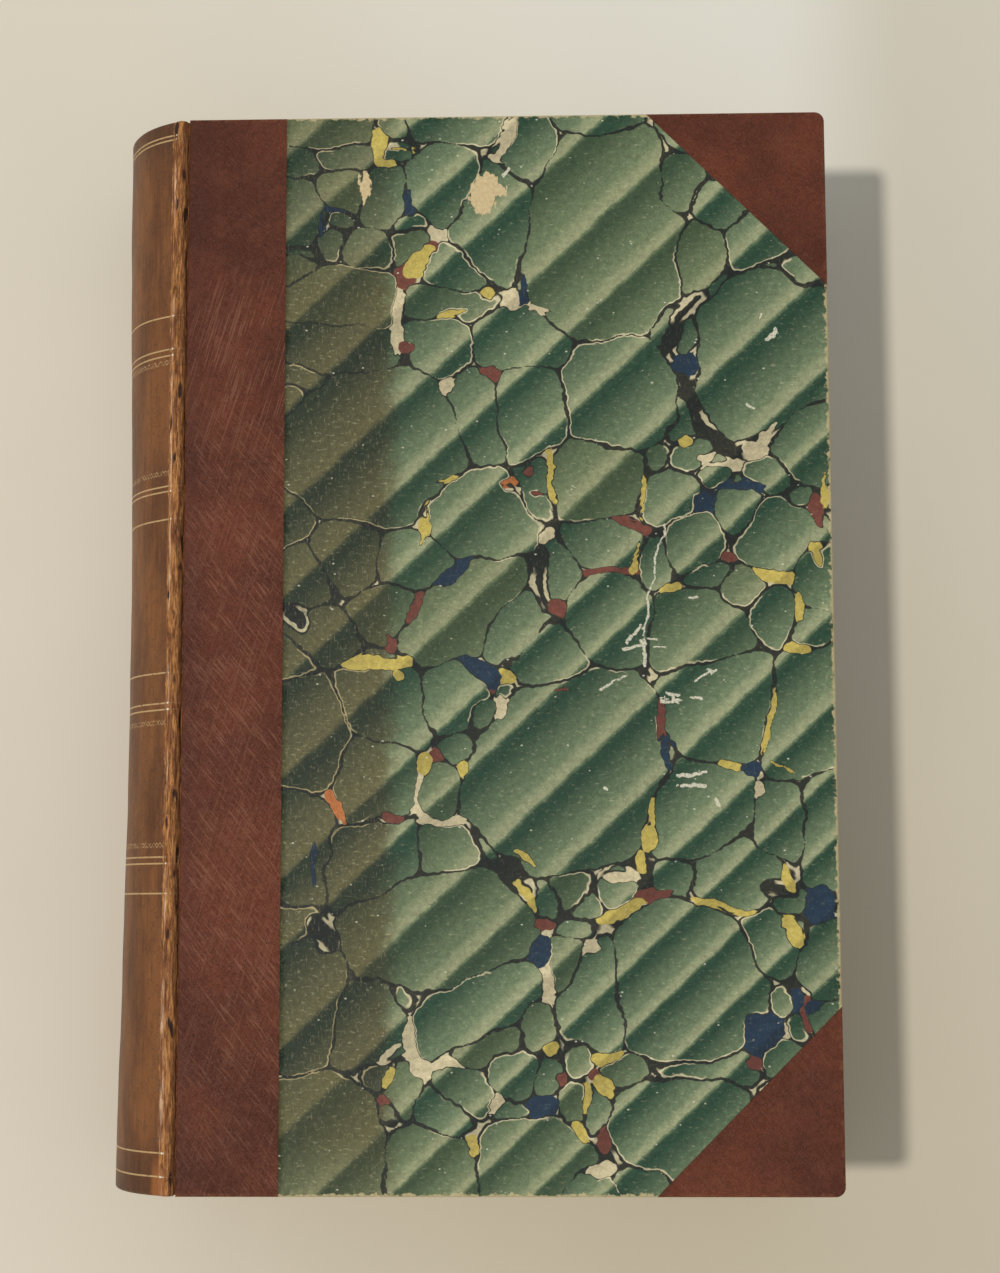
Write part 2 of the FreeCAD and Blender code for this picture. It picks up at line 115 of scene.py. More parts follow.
# One output of a new node, in the tree that its inputs come from
def result(kind, inputs, output=0, **settings):
    tree = treeOf(inputs)
    return Value(tree, addNode(tree, kind, inputs, **settings).outputs[output])


def calc(operation, *values):
    return result("Math", dict(enumerate(values)), operation=operation)


def most(first, second):
    return calc("MAXIMUM", first, second)


def mix(factor, first, second, mode="MIX"):
    return result("Mix", {0: factor, 6: first, 7: second}, 2, data_type="RGBA", blend_type=mode)


def shade(colour, gain):
    return mix(1.0, colour, gain, "MULTIPLY")


# Smooth step of a value from 0 at one end to 1 at the other
def rise(value, start, end):
    inputs = {"Value": value, "From Min": start, "From Max": end}
    return result("MapRange", inputs, interpolation_type="SMOOTHSTEP")


def spread(value, start, end, low, high):
    inputs = {"Value": value, "From Min": start, "From Max": end, "To Min": low, "To Max": high}
    return result("MapRange", inputs)


def between(value, low, high):
    return spread(value, 0, 1, low, high)


def noise(vector, scale, detail=2.0, rough=0.5):
    return result("TexNoise", {"Vector": vector, "Scale": scale, "Detail": detail, "Roughness": rough})


def cells(vector, scale, feature="F1"):
    return result("TexVoronoi", {"Vector": vector, "Scale": scale}, "Distance", feature=feature)


def stretched(vector, scale, turn=0.0):
    inputs = {"Vector": vector, "Scale": scale, "Rotation": (0.0, 0.0, math.radians(turn))}
    return result("Mapping", inputs)


def streaked(vector, scale, detail, rough=0.5, turn=0.0):
    return noise(stretched(vector, scale, turn), 1.0, detail, rough)


def ramp(value, stops):
    made = addNode(value.tree, "ValToRGB", {0: value})
    points = made.color_ramp.elements
    while len(points) < len(stops):
        points.new(0.5)
    for point, (place, level) in zip(points, stops):
        point.position = place
        point.color = (level, level, level, 1.0)
    return Value(value.tree, made.outputs[0])


def field(tree, name, output="Fac"):
    return Value(tree, addNode(tree, "Attribute", attribute_name=name).outputs[output])


def millimetres(tree):
    coordinates = Value(tree, addNode(tree, "TexCoord").outputs["Object"])
    return result("VectorMath", {0: coordinates, 3: 1000.0}, operation="SCALE")


def parts(vector):
    return [Value(vector.tree, output) for output in addNode(vector.tree, "SeparateXYZ", {0: vector}).outputs]


def raised(height, distance, strength):
    return result("Bump", {"Height": height, "Distance": distance, "Strength": strength})


def newMaterial(name):
    material = bpy.data.materials.new(name)
    material.use_nodes = True
    tree = material.node_tree
    return material, tree, tree.nodes["Principled BSDF"]


def finish(tree, shader, colour, roughness, specular=None, normal=None):
    inputs = {"Base Color": colour, "Roughness": roughness, "Specular IOR Level": specular, "Normal": normal}
    connect(tree, shader, {name: value for name, value in inputs.items() if value is not None})


# Shared effects as groups: each gives masks or heights only

def newGroup(name, inputs, outputs):
    group = bpy.data.node_groups.new(name, "ShaderNodeTree")
    for label, value in inputs.items():
        kind = "NodeSocketVector" if isinstance(value, tuple) else "NodeSocketFloat"
        socket = group.interface.new_socket(label, in_out="INPUT", socket_type=kind)
        socket.default_value = value
    for label in outputs:
        group.interface.new_socket(label, in_out="OUTPUT", socket_type="NodeSocketFloat")
    entry = group.nodes.new("NodeGroupInput")
    source = {output.name: Value(group, output) for output in entry.outputs}
    return group, source, group.nodes.new("NodeGroupOutput")


def useGroup(group, inputs):
    tree = treeOf(inputs)
    made = addNode(tree, "Group", inputs, node_tree=group)
    return {output.name: Value(tree, output) for output in made.outputs}


# Mask of an area whose stored distance is above a level, with a wobbling outline
def outlineGroup():
    group, source, target = newGroup("outline", {
        "Field": 0.0, "Level": 0.0, "Soft": 0.1, "Wobble": 0.1, "Wobble Scale": 2.0, "Detail": 1.0,
        "Vector": (0.0, 0.0, 0.0)}, ["Mask"])
    shake = noise(source["Vector"], source["Wobble Scale"], source["Detail"]) - 0.5
    gap = source["Field"] + shake * source["Wobble"] - source["Level"]
    connect(group, target, {"Mask": rise(gap, source["Soft"] * -1.0, source["Soft"])})
    return group


# Thin broken lines that run one way, for scratches and rubbed hatching
def scratchGroup():
    group, source, target = newGroup("scratches", {
        "Vector": (0.0, 0.0, 0.0), "Stretch": (6.0, 0.25, 6.0), "Turn": (0.0, 0.0, 0.0), "Cover": 0.66}, ["Mask"])
    turned = result("VectorRotate", {"Vector": source["Vector"], "Rotation": source["Turn"]},
                    rotation_type="EULER_XYZ")
    drawn = result("VectorMath", {0: turned, 1: source["Stretch"]}, operation="MULTIPLY")
    lines = noise(drawn, 1.0, 2.0, 0.7)
    level = source["Cover"] - noise(source["Vector"], 0.13, 2.0) * 0.2
    connect(group, target, {"Mask": rise(lines, level, level + 0.07)})
    return group


# Pebbled, creased surface of calf leather: Creases is 1 in the cracks
def leatherGroup():
    group, source, target = newGroup("leather_grain", {
        "Vector": (0.0, 0.0, 0.0), "Pebble": 1.5, "Crease": 0.35}, ["Height", "Creases", "Patches"])
    vector = source["Vector"]
    shake = result("TexNoise", {"Vector": vector, "Scale": 0.6, "Detail": 2.0}, "Color")
    shift = result("VectorMath", {0: shake, 3: 1.4}, operation="SCALE")
    moved = result("VectorMath", {0: vector, 1: shift}, operation="ADD")
    pebbles = cells(moved, source["Pebble"], "DISTANCE_TO_EDGE")
    folds = noise(moved, source["Crease"], 4.0, 0.65)
    crease = rise(abs(folds - 0.5), 0.022, 0.0)
    height = rise(pebbles, 0.0, 0.2) + noise(moved, 6.0, 3.0, 0.65) * 0.8
    connect(group, target, {
        "Height": height - crease * 0.6, "Creases": crease, "Patches": noise(vector, 0.16, 4.0, 0.6)})
    return group


outline = outlineGroup()
scratches = scratchGroup()
leatherGrain = leatherGroup()


def outlined(vector, distance, level, soft, wobble, scale, detail=1.0):
    inputs = {"Vector": vector, "Field": distance, "Level": level, "Soft": soft, "Wobble": wobble,
              "Wobble Scale": scale, "Detail": detail}
    return useGroup(outline, inputs)["Mask"]


def scratched(vector, stretch, turn, cover):
    inputs = {"Vector": vector, "Stretch": stretch, "Turn": (0.0, 0.0, math.radians(turn)), "Cover": cover}
    return useGroup(scratches, inputs)["Mask"]


# Mesh helpers: all the builders work in millimetres in the row frame

def makeObject(name, points, faces, material, fields=None):
    mesh = bpy.data.meshes.new(name)
    faces = np.asarray(faces, dtype=np.int32)
    corners = faces.shape[1]
    mesh.vertices.add(len(points))
    mesh.vertices.foreach_set("co", (np.asarray(points, dtype=np.float32) * 0.001).ravel())
    mesh.loops.add(faces.size)
    mesh.loops.foreach_set("vertex_index", faces.ravel())
    mesh.polygons.add(len(faces))
    mesh.polygons.foreach_set("loop_start", np.arange(0, faces.size, corners, dtype=np.int32))
    mesh.polygons.foreach_set("loop_total", np.full(len(faces), corners, dtype=np.int32))
    mesh.polygons.foreach_set("use_smooth", np.full(len(faces), True))
    mesh.update(calc_edges=True)
    for label, values in (fields or {}).items():
        values = np.asarray(values, dtype=np.float32)
        kind, slot = ("FLOAT", "value") if values.ndim == 1 else ("FLOAT_VECTOR", "vector")
        mesh.attributes.new(label, kind, "POINT").data.foreach_set(slot, values.ravel())
    mesh.validate()
    mesh.materials.append(material)
    made = bpy.data.objects.new(name, mesh)
    bpy.context.scene.collection.objects.link(made)
    return made


# Points of one cross-section that stands at a height along the book
def atHeight(x, y, z):
    return np.column_stack([x, np.full(len(x), y), z])


# Smooth random value of about -1 to 1 over flat or solid points
def ripple(points, wavelength, seed):
    rng = np.random.default_rng(seed)
    total = np.zeros(len(points))
    for _ in range(9):
        way = rng.normal(size=points.shape[1])
        way /= np.linalg.norm(way)
        size = wavelength * rng.uniform(0.7, 1.5)
        total += np.sin(points @ way * (2 * math.pi / size) + rng.uniform(0, 2 * math.pi))
    return total / 3.2


# Marbled side paper: one sheet laid flat, its stones and colour drops held as distances, then folded over the board

paper = {
    "start": -37.8,
    "cornerLine": 146.7,
    "bend": 0.7,
    "side": 2.0,
    "turnIn": 7.0,
    "thick": 0.2,
    "fineStep": 0.36,
    "wideStep": 0.95,
    "veinHalf": 0.23,
    "reach": 4.2,
    "softness": 2.2,
    "joinSoftness": 3.0,
    "shake": 0.42,
    "shakeLength": 7.0,
    "fineShake": 0.13,
    "fineShakeLength": 1.7,
    "waveTurn": 43.0,
    "turnedAbout": (36.0, 0.0),
    "turnedWave": 11.0,
    "seamGap": 0.25,
    "veinDetail": 0.42,
    "markDetail": 0.3,
    "foldStep": 0.8,
}

# Places where the wave turns from dark to light, measured across the waves
waveTurns = (-150, -136, -123, -110.5, -98, -88.7, -79, -69.6, -59.6, -46.4, -33.8, -19.3,
             -9.3, 5.5, 19.8, 32.5, 45.5, 60.5, 73, 87, 100, 114, 127, 140)

# Stones of the pattern: middle x, y, half width, half height, and a turn in degrees where there is one
stones = [
    (-29.5,107,9.5,4.5), (-35.5,100.5,4.5,3.5), (-26,101.5,6,3.2), (-26,94.5,6,4.5), (-38,90,9,7.5),
    (-15.5,108,2.8,2.5), (-14,102,3,1.8), (-4,108.5,9,4), (-17.5,93,5,7), (-6,95.5,7.5,8),
    (6,87,8.5,12,-20), (13,101,5.5,6.5), (-12.5,82,4,4), (-12.5,87.5,3.5,2.3), (-21,81,6,4),
    (-28,82,2.6,3.2), (-27.2,88,1.6,1.6), (-35.5,78.5,4,2.5), (-35,80.7,3.5,.8), (-26,71,11.5,7.5,10),
    (-27,61,12,6.5,-15), (-2.5,77,6.5,4.5,-35), (-3.5,70,8,3.3), (-5.5,61.5,6,6), (10,61.5,9.5,6,-15),
    (27.5,84.5,17.5,21.5), (26,110,6.5,5), (42,93,4.5,6.5), (51,89.5,4.5,3.5), (47,80,6,6.8),
    (58.5,82,5,6,-45), (62,76.8,2.2,.9), (67,75.5,3,1.5,-35), (60.5,58.5,13.5,18.5), (43,62.5,3,4.8,20),
    (51.5,73.5,3.2,1,45), (46.3,57.5,.8,2), (-33,54.5,4.5,2.6,-20), (-36.5,50,3,2.2), (-19.5,41,18,16),
    (1.5,47,4.5,9,20), (12.5,48,7,9.5), (2,25,11,8.3,-8), (-11.5,15.8,8,5.3), (-37,25,2.8,4),
    (-33.5,13,6,5.2), (-24.5,17,6.8,6.3,-40), (-17.5,6.5,7,5,20), (-29,1.5,6.5,4.8), (-36,-3.5,3.8,3.2),
    (-1,6.5,14,7.5,38), (9.5,2.5,7,7), (18.5,13,4.5,5.8), (28,19,8,4.8), (28,5.5,8.5,8.5,20),
    (15.5,-3,7.5,6.3), (37,16,3.2,4.8,-15), (45.5,20.5,6,6.3), (41,29.3,6,5.6), (26,33,9.5,7.3),
    (14,31,2.8,5.5,-20), (31,50.5,11.5,11), (43.7,46.5,1.4,5,-8), (43.5,37,3,2.2), (38.9,37,1.2,1.9,-25),
    (49.5,33.2,2.2,1.8), (68,42,6.5,8.5), (61.3,33.5,3,3.2), (67,28.2,1.6,1.4), (54.5,26.5,4.8,5.2),
    (62,21,7.5,8,-30), (55.5,10.5,4.2,4), (48.5,13.3,4.2,2,10), (47,2,9.5,7.5,-10), (61,5.5,4,4.5),
    (51,-13,11,10,45), (70,12.5,3.5,6,20), (69,2.5,2.3,3.2), (68,-15,8,12.5,-15), (19,-26.5,21,17.5,38),
    (46.5,-34.5,9.5,8.5,15), (62,-37.5,4.8,7.5,-15), (71,-37,3.8,9.5), (54,-46.5,8.5,6,15),
    (-17,-13,10.5,8.5,-40), (-4,-11.5,7.5,6.5,30), (3,-15,2.6,3.2), (-2,-21.8,2.5,2.8), (6.7,-10.6,.9,1.2),
    (-5.8,-30,3.3,4.4), (-19,-27.5,8.5,9.5), (-32,-19,8.5,11), (-34,-41,6,10.5), (-19.5,-43.5,10,7.5,20),
    (-4.5,-42,6.8,4.2), (3.5,-41.5,3.2,1.3,-50), (-6,-58.5,18,11.5,12), (-13.5,-70.5,2.2,3.6,30),
    (1,-73,13.5,6.5,22), (4,-81,7,2.8,25), (-33,-71,8,12), (-20,-76,8,9), (-35.5,-57.5,3.8,4),
    (-28,-99.5,11.5,11.5), (-13.2,-89.5,2.6,5), (-18,-85.5,2.5,2), (-16.5,-93.7,1.8,1.7),
    (-5.5,-94.5,5.5,4.8,-40), (-1,-89.5,5.5,4.5,-35), (9.2,-86,5,4.9), (14.5,-87.5,1.7,3.2),
    (12.8,-77,2.3,5), (9.5,-93,3.2,.8), (-8,-102.5,8.5,7,-10), (12,-102,10,7), (24,-109,4.5,3),
    (33.5,-107.5,3.3,2.5), (19.5,-65,3,5,-15), (21,-58,1.7,1.3,-20), (25,-72,5.8,10.5), (23,-82,1.8,2.6),
    (30.5,-85.7,3.5,2.2), (43,-69.5,14.5,14.5), (60.5,-60,5,5.5), (46,-85,7.5,1.3,6), (40,-96,13,8.5),
    (69.5,-65,2.8,5.8), (63.3,-53.3,1.6,1.5), (28,-50.8,2,2), (24,-53,2.2,2,30), (20.5,-50.3,3.5,2.5),
    (52,107,9,4.5), (63,103,7,6), (72,103,5,7), (66,91.5,7,5,-40), (74,84,4.5,5.5), (58,98.5,5,3.5,-45),
    (52,-107,9,4.5), (63,-103,7,6), (72,-103,5,7), (66,-91.5,7,5,40), (74,-84,4.5,5.5), (58,-98.5,5,3.5,45),
    (42.7,-47.6,2,1.3), (62.5,-73,.8,1.4), (64.5,-77,1.3,1.5), (61.5,-82.5,3,2.3,35), (70.5,-76,2.5,2),
    (20.6,-92,2,2.3), (25.8,-92.7,1.6,3), (6.7,-43.8,1.5,1), (15.5,-51.8,1.8,1.5),
]

# Runs of thick black between stones: half width, then the points that it passes
blackRuns = [
    (1.4, (47, 71), (43, 66), (41, 60), (44, 55), (45, 50), (48, 44), (54, 38), (60, 41)),
    (1.5, (15, 18), (14, 12), (16, 7)), (2.2, (-36, 6), (-34, 4)), (2.4, (-30, -57), (-28, -60)),
    (2.0, (8, -46), (12, -51)), (1.6, (60, -50), (64, -50)), (1.6, (64, -69), (66, -71)),
    (1.8, (27, -101), (28, -104)),
]

# Drops of other colours on the stones, written in the same way
yellowDrops = [
    (-18.5,104,1.3,3.5), (-17,100,2,.8,-30), (-14,103,2.5,.5), (-11,78.5,2,3,-30), (-9.3,80.5,2.5,1,35),
    (4,71.5,1.5,1.3), (-3,68,3,.7,20), (-9,23.5,1.5,2.2), (-5,33,2,.4), (44.5,40.5,1.8,1.2),
    (41,10.5,1.5,.8,30), (62,13,4,1.2,-15), (67,7,1.3,3.5), (66,-2,2.5,1.2), (70.5,17.5,.9,3,20),
    (72.5,31,.7,3.5), (-19,-4.5,7,1.6), (-14,-6.5,1.5,1.5), (7.5,-7.5,1.5,1.2), (-9,-24.5,1.6,2),
    (-1,-26,1.4,1.8), (52.5,-25.3,2.3,1,-25), (36.5,-40,1.7,2.6), (37,-35,.8,3), (34.5,-44.5,1,2),
    (11,-43.5,3,.7,-35), (11.5,-51,.7,3.5,35), (30,-54.5,5,1,25), (50,-53,6,.9,-15), (63.5,-48,.8,2.5,25),
    (64,-58.5,1.8,3.5,30), (27,-83,3.5,1,15), (26.5,-88.5,2,2), (22,-97.5,1,2.5,30), (23,-91,.7,3),
    (.5,-100.5,.9,2), (-16,-86.5,1.5,1.5), (16.5,-81.5,1.2,1.2), (-9,23,.5,5,-14), (35.2,29,.4,4),
    (17,34,.4,5), (33.6,17,.4,3.5,-15), (60.5,-17,.5,7,-12), (63,-26,3,.5,-30), (-38.6,-58,.4,3),
]
orangeDrops = [(-27,-33,1,3.3,30), (8,32.5,2,.7,25)]
blueDrops = [
    (-28.5,90.4,2.5,.5), (-30.6,88,.5,2.4), (-12,91.5,.5,3), (11.5,73,.8,3), (-3,14,4.5,1.6,38),
    (44.5,57,2.5,2), (48,28.5,2.2,2), (56,31.5,5,1), (2,-6,4.5,1.6,-30), (39.5,-23,1,3),
    (56.5,-26.5,1.6,1.5), (-31,-45,.8,5), (14,-62,2,2.3), (14,-92.5,2.8,1.6), (57.5,-78,4,4.2),
    (69.5,-52.5,2.8,3.8), (64.5,-72,.8,2), (68.5,-73.5,1.3,1),
]
redDrops = [
    (-13,76,1.8,3.5), (-7.5,82,1.5,1.2), (-12.5,60.5,1.5,1), (4.5,55.5,1.5,1.5), (12,34.5,1.2,1),
    (14,30,2,.8,-20), (33,23.5,3.5,.9,-20), (29,14,5,.8), (18,7,1.5,1.8), (70.5,26.5,1.4,4,12),
    (53,17,1.5,.8), (-16,0,1,2.2), (-11,7,.8,3,-30), (5,-8.5,.8,1.3), (-6,-23,1,1.2),
    (-15.5,-35.3,2,.9), (18.5,-10.3,1.8,.6), (38.5,-17,1,4), (37,-51,4,1.2,10), (14.5,-57,1.8,.8),
    (26.5,-99,1.3,2), (-17,-91,1.3,1), (56,-83.7,1.5,.9), (66.7,-74.5,.8,3), (17.5,-86.5,1.5,1.3),
    (24.5,-86.5,1,.8),
]
creamDrops = [
    (8,105,1.3,5,-25), (-6,85,2,1.5), (9.5,70.5,2.8,2.5), (15,68,3,.7), (-14.5,71,.9,6,-8),
    (-15,62.5,1.2,3), (-4,53,1,1.5), (8,31,1.5,.6), (15.5,21.5,1.2,.8), (48,37.5,2,1),
    (52,35.7,4,.8), (58.5,38.5,2,1.6), (61,42,.8,3,-40), (6.5,-13,1.3,3), (-10.3,-30,.6,4),
    (-11,-34,1.5,.6), (-5,-36.5,4.5,.8,-5), (30,-47.5,3.5,1.3), (58.5,-30.3,1,1), (15.5,-66,.9,6),
    (-12,-79,1.6,3.5), (-10,-85,2.2,2.5), (-5,-84.5,3,.8), (-16,-82,3,.9,30), (5,-92,1.3,1),
    (24.5,-61.5,1.5,1.2), (61.5,-78.5,2,.9,35), (26,-105,2.5,1.6),
]

# Bare places in the same way, and scratches as runs: half width, then the points
peeledSpots = [(3.2,93.3,3,4.4,-12), (6.6,93.8,1.4,1.3), (-21.5,95,1.4,3.4), (-18,-110.2,2.4,1)]
paleScratches = [
    (.2, (39.5, 24), (38, 16), (36.4, 8), (35.7, 3), (35.3, -2), (35.4, -5.5)), (.34, (34.8, -.3), (35.2, -5)),
    (.2, (34.7, 3), (32.4, -.6)), (.24, (31.2, -1.4), (35.7, -1.4)), (.24, (36.4, .4), (38.2, .2)),
    (.14, (37.4, -1.7), (39.4, -1.8)), (.3, (39.6, -10.7), (42.6, -11.3)), (.16, (37.4, -12.1), (43.3, -12.4)),
    (.28, (38.4, -12.8), (42.3, -13)), (.24, (44.5, -11.8), (46.2, -12)), (.24, (46, -8), (48, -6.5), (49.2, -6.2)),
    (.15, (48, -5.5), (48.7, -6.9)), (.22, (26.4, -10.2), (28.9, -8.9)), (.12, (29, -8.7), (32.2, -7.4)),
    (.3, (41.4, -27), (44, -27), (47.4, -26.7)), (.32, (41.7, -28.8), (44.7, -29.3), (46.9, -29.6)),
    (.3, (26.9, -30), (27.6, -30.2)), (.22, (49.3, -31.6), (49.9, -33.2)), (.24, (44.4, 8.3), (46.4, 8.5)),
    (.35, (6.7, 97.2), (8.5, 98.6)), (.3, (61, 62), (63, 63.5)), (.26, (59, 66), (60, 67)),
    (.25, (57, 48), (58.2, 47.6)),
]
darkScuffs = [(.7, (47.5, 31.5), (49.5, 30.2))]


def ellipseDistances(points, shapes):
    shapes = np.array([(*shape, 0)[:5] for shape in shapes], float)
    turns = np.radians(shapes[:, 4])
    dx = points[:, :1] - shapes[:, 0]
    dy = points[:, 1:2] - shapes[:, 1]
    along = (dx * np.cos(turns) + dy * np.sin(turns)) / shapes[:, 2]
    across = (-dx * np.sin(turns) + dy * np.cos(turns)) / shapes[:, 3]
    near = np.sqrt(along ** 2 + across ** 2)
    slope = np.sqrt((along / shapes[:, 2]) ** 2 + (across / shapes[:, 3]) ** 2) + 1e-9
    return near * (1 - near) / slope


def runDistances(points, runs):
    best = np.full(len(points), -99.0)
    for half, *stops in runs:
        for (ax, ay), (bx, by) in zip(stops, stops[1:]):
            span = np.array([bx - ax, by - ay])
            offset = points - (ax, ay)
            place = np.clip(offset @ span / (span @ span), 0, 1)
            best = np.maximum(best, half - np.linalg.norm(offset - place[:, None] * span, axis=1))
    return best


# The two largest stones at each point give the vein between them; the rest round its corners
def stoneFields(points, turned):
    at = points.copy()
    for axis, seed in ((0, 11), (1, 13)):
        wide = paper["shake"] * ripple(points, paper["shakeLength"], seed)
        at[:, axis] += wide + paper["fineShake"] * ripple(points, paper["fineShakeLength"], seed + 1)
    if turned:
        at = paper["turnedAbout"] - at
    rng = np.random.default_rng(5)
    rimTurns = rng.uniform(0, 2 * math.pi, len(stones))
    rimSizes = rng.uniform(-0.5, 1.0, len(stones))
    tints = rng.normal(size=len(stones))
    warmths = rng.uniform(0, 1, len(stones))
    middles = np.array([stone[:2] for stone in stones], float)
    depth, owner = np.empty(len(at)), np.empty(len(at), dtype=int)
    for start in range(0, len(at), 20000):
        some = slice(start, start + 20000)
        distances = ellipseDistances(at[some], stones)
        best = distances.max(axis=1)
        owner[some] = distances.argmax(axis=1)
        halves = np.sort((best[:, None] - distances) / 2, axis=1)[:, 1:9]
        between = -np.log(np.exp(-paper["softness"] * halves).sum(axis=1)) / paper["softness"]
        depth[some] = np.minimum(between, best + paper["reach"])
    drops = {"yellow": yellowDrops, "orange": orangeDrops, "blue": blueDrops, "red": redDrops, "cream": creamDrops}
    fields = {label: ellipseDistances(at, shapes).max(axis=1) for label, shapes in drops.items()}
    for distance in fields.values():
        depth -= 0.5 * np.clip((distance + 1.3) / 2.2, 0, 1)
    soft = paper["joinSoftness"]
    web = [runDistances(at, blackRuns), *[distance - 0.4 for distance in fields.values()]]
    for widened in web:
        pair = np.exp(-soft * np.clip(depth, -8, 8)) + np.exp(soft * np.clip(widened, -8, 8))
        depth = -np.log(pair) / soft
    away = np.arctan2(at[:, 1] - middles[owner, 1], at[:, 0] - middles[owner, 0])
    rim = np.cos(away - rimTurns[owner]) * 0.7 + rimSizes[owner]
    fields["vein"] = depth - paper["veinHalf"] + 0.11 * ripple(points, 9.0, 21)
    fields["rim"] = rim
    fields["tint"] = tints[owner]
    fields["warm"] = warmths[owner]
    fields["peel"] = ellipseDistances(at, peeledSpots).max(axis=1)
    fields["scratch"] = runDistances(at, paleScratches)
    fields["scuff"] = runDistances(at, darkScuffs)
    return fields


# Distance past the start of the fold to distance outward and down, on the skin or below it
def foldOver(past, below):
    bend, side = paper["bend"], paper["side"]
    arc = bend * math.pi / 2
    first = np.clip(past, 0, arc) / bend
    straight = np.clip(past - arc, 0, side)
    second = np.clip(past - arc - side, 0, arc) / bend
    inward = np.clip(past - 2 * arc - side, 0, None)
    turn = first + second
    outward = bend * (np.sin(first) - (1 - np.cos(second))) - inward
    down = bend * (1 - np.cos(first) + np.sin(second)) + straight
    return outward - below * np.sin(turn), down + below * np.cos(turn)


def foldSheet(flat, below=0.0):
    foldX = book["foreEdge"] - paper["bend"]
    foldY = book["halfLength"] - paper["bend"]
    outX, downX = foldOver(np.maximum(flat[:, 0] - foldX, 0), below)
    outY, downY = foldOver(np.maximum(abs(flat[:, 1]) - foldY, 0), below)
    overX = flat[:, 0] > foldX
    overY = abs(flat[:, 1]) > foldY
    x = np.where(overX, foldX + outX, flat[:, 0])
    y = np.where(overY, np.sign(flat[:, 1]) * (foldY + outY), flat[:, 1])
    down = np.where(overX, downX, np.where(overY, downY, below))
    return np.column_stack([x, y, book["thick"] - down])


def cutOutline():
    bend = paper["bend"]
    foldX, foldY = book["foreEdge"] - bend, book["halfLength"] - bend
    arc = bend * math.pi / 2
    last = 2 * arc + paper["side"] + paper["turnIn"]
    stops = (0, arc, arc + paper["side"], 2 * arc + paper["side"], last)
    counts = (4, 4, 4, 12)
    steps = np.unique(np.concatenate([np.linspace(*ends) for ends in zip(stops, stops[1:], counts)]))
    outward, _ = foldOver(steps, 0.0)
    headFlap = np.column_stack([paper["cornerLine"] - foldY - outward, foldY + steps])
    foreFlap = np.column_stack([foldX + steps, paper["cornerLine"] - foldX - outward])
    corner = np.linspace(headFlap[0], foreFlap[0], 90)[1:-1]
    quarter = np.vstack([headFlap[::-1], corner, foreFlap])
    headEdge = np.linspace(paper["start"], headFlap[-1, 0], 90)[:-1]
    foreEdge = np.linspace(foreFlap[-1, 1], -foreFlap[-1, 1], 240)[1:-1]
    head = np.column_stack([headEdge, np.full(len(headEdge), foldY + last)])
    fore = np.column_stack([np.full(len(foreEdge), foldX + last), foreEdge])
    lower = (quarter * (1, -1))[::-1]
    tail = (head * (1, -1))[::-1]
    spineEnd = np.linspace(-foldY - last, foldY + last, 520)[1:-1]
    spine = np.column_stack([np.full(len(spineEnd), paper["start"]), spineEnd])
    return np.vstack([head, quarter, fore, lower, tail, spine]), steps, foldX, foldY


def sheetPoints(turned):
    border, steps, foldX, foldY = cutOutline()
    low, high = border.min(axis=0), border.max(axis=0)
    rng = np.random.default_rng(3)

    def lattice(step):
        xs = np.arange(low[0] + step, high[0], step)
        ys = np.arange(low[1] + step, high[1], step * 0.866)
        grid = np.stack(np.meshgrid(xs, ys), axis=-1)
        grid[1::2, :, 0] += step / 2
        flat = grid.reshape(-1, 2)
        return flat + rng.uniform(-0.12, 0.12, flat.shape) * step

    def nearFold(flat):
        pastX, pastY = flat[:, 0] - foldX, abs(flat[:, 1]) - foldY
        return np.maximum(pastX, pastY) > -paper["seamGap"]

    def wanted(flat):
        plan = foldSheet(flat)
        inside = plan[:, 0] + abs(plan[:, 1]) < paper["cornerLine"] - paper["seamGap"]
        return inside & ~nearFold(flat) & (flat[:, 0] > paper["start"] + paper["seamGap"])

    def inDetail(flat):
        fields = stoneFields(mirroredIn(flat), turned)
        near = fields["vein"] < paper["veinDetail"]
        for name in ("peel", "scratch", "scuff"):
            near |= abs(fields[name]) < paper["markDetail"]
        return near

    fine = lattice(paper["fineStep"])
    fine = fine[wanted(fine)]
    fine = fine[inDetail(fine)]
    wide = lattice(paper["wideStep"])
    wide = wide[wanted(wide)]
    wide = wide[~inDetail(wide)]
    flaps = []
    for past in steps:
        along = np.arange(paper["start"] + 0.6, high[0], paper["foldStep"])
        flaps.append(np.column_stack([along, np.full(len(along), foldY + past)]))
        flaps.append(np.column_stack([along, np.full(len(along), -foldY - past)]))
        along = np.arange(-foldY, foldY, paper["foldStep"])
        flaps.append(np.column_stack([np.full(len(along), foldX + past), along]))
    flaps = np.vstack(flaps)
    plan = foldSheet(flaps)
    single = (flaps[:, 0] <= foldX + 1e-6) | (abs(flaps[:, 1]) <= foldY + 1e-6)
    flaps = flaps[single & (plan[:, 0] + abs(plan[:, 1]) < paper["cornerLine"] - 0.2)]
    return border, np.vstack([border, fine, wide, flaps])


# The pattern runs back on itself past the folds, where nothing of it was measured
def mirroredIn(flat):
    foldX, foldY = book["foreEdge"] - paper["bend"], book["halfLength"] - paper["bend"]
    x = np.where(flat[:, 0] > foldX + 1, 2 * foldX + 2 - flat[:, 0], flat[:, 0])
    y = np.where(abs(flat[:, 1]) > foldY + 1, np.sign(flat[:, 1]) * (2 * foldY + 2) - flat[:, 1], flat[:, 1])
    return np.column_stack([x, y])


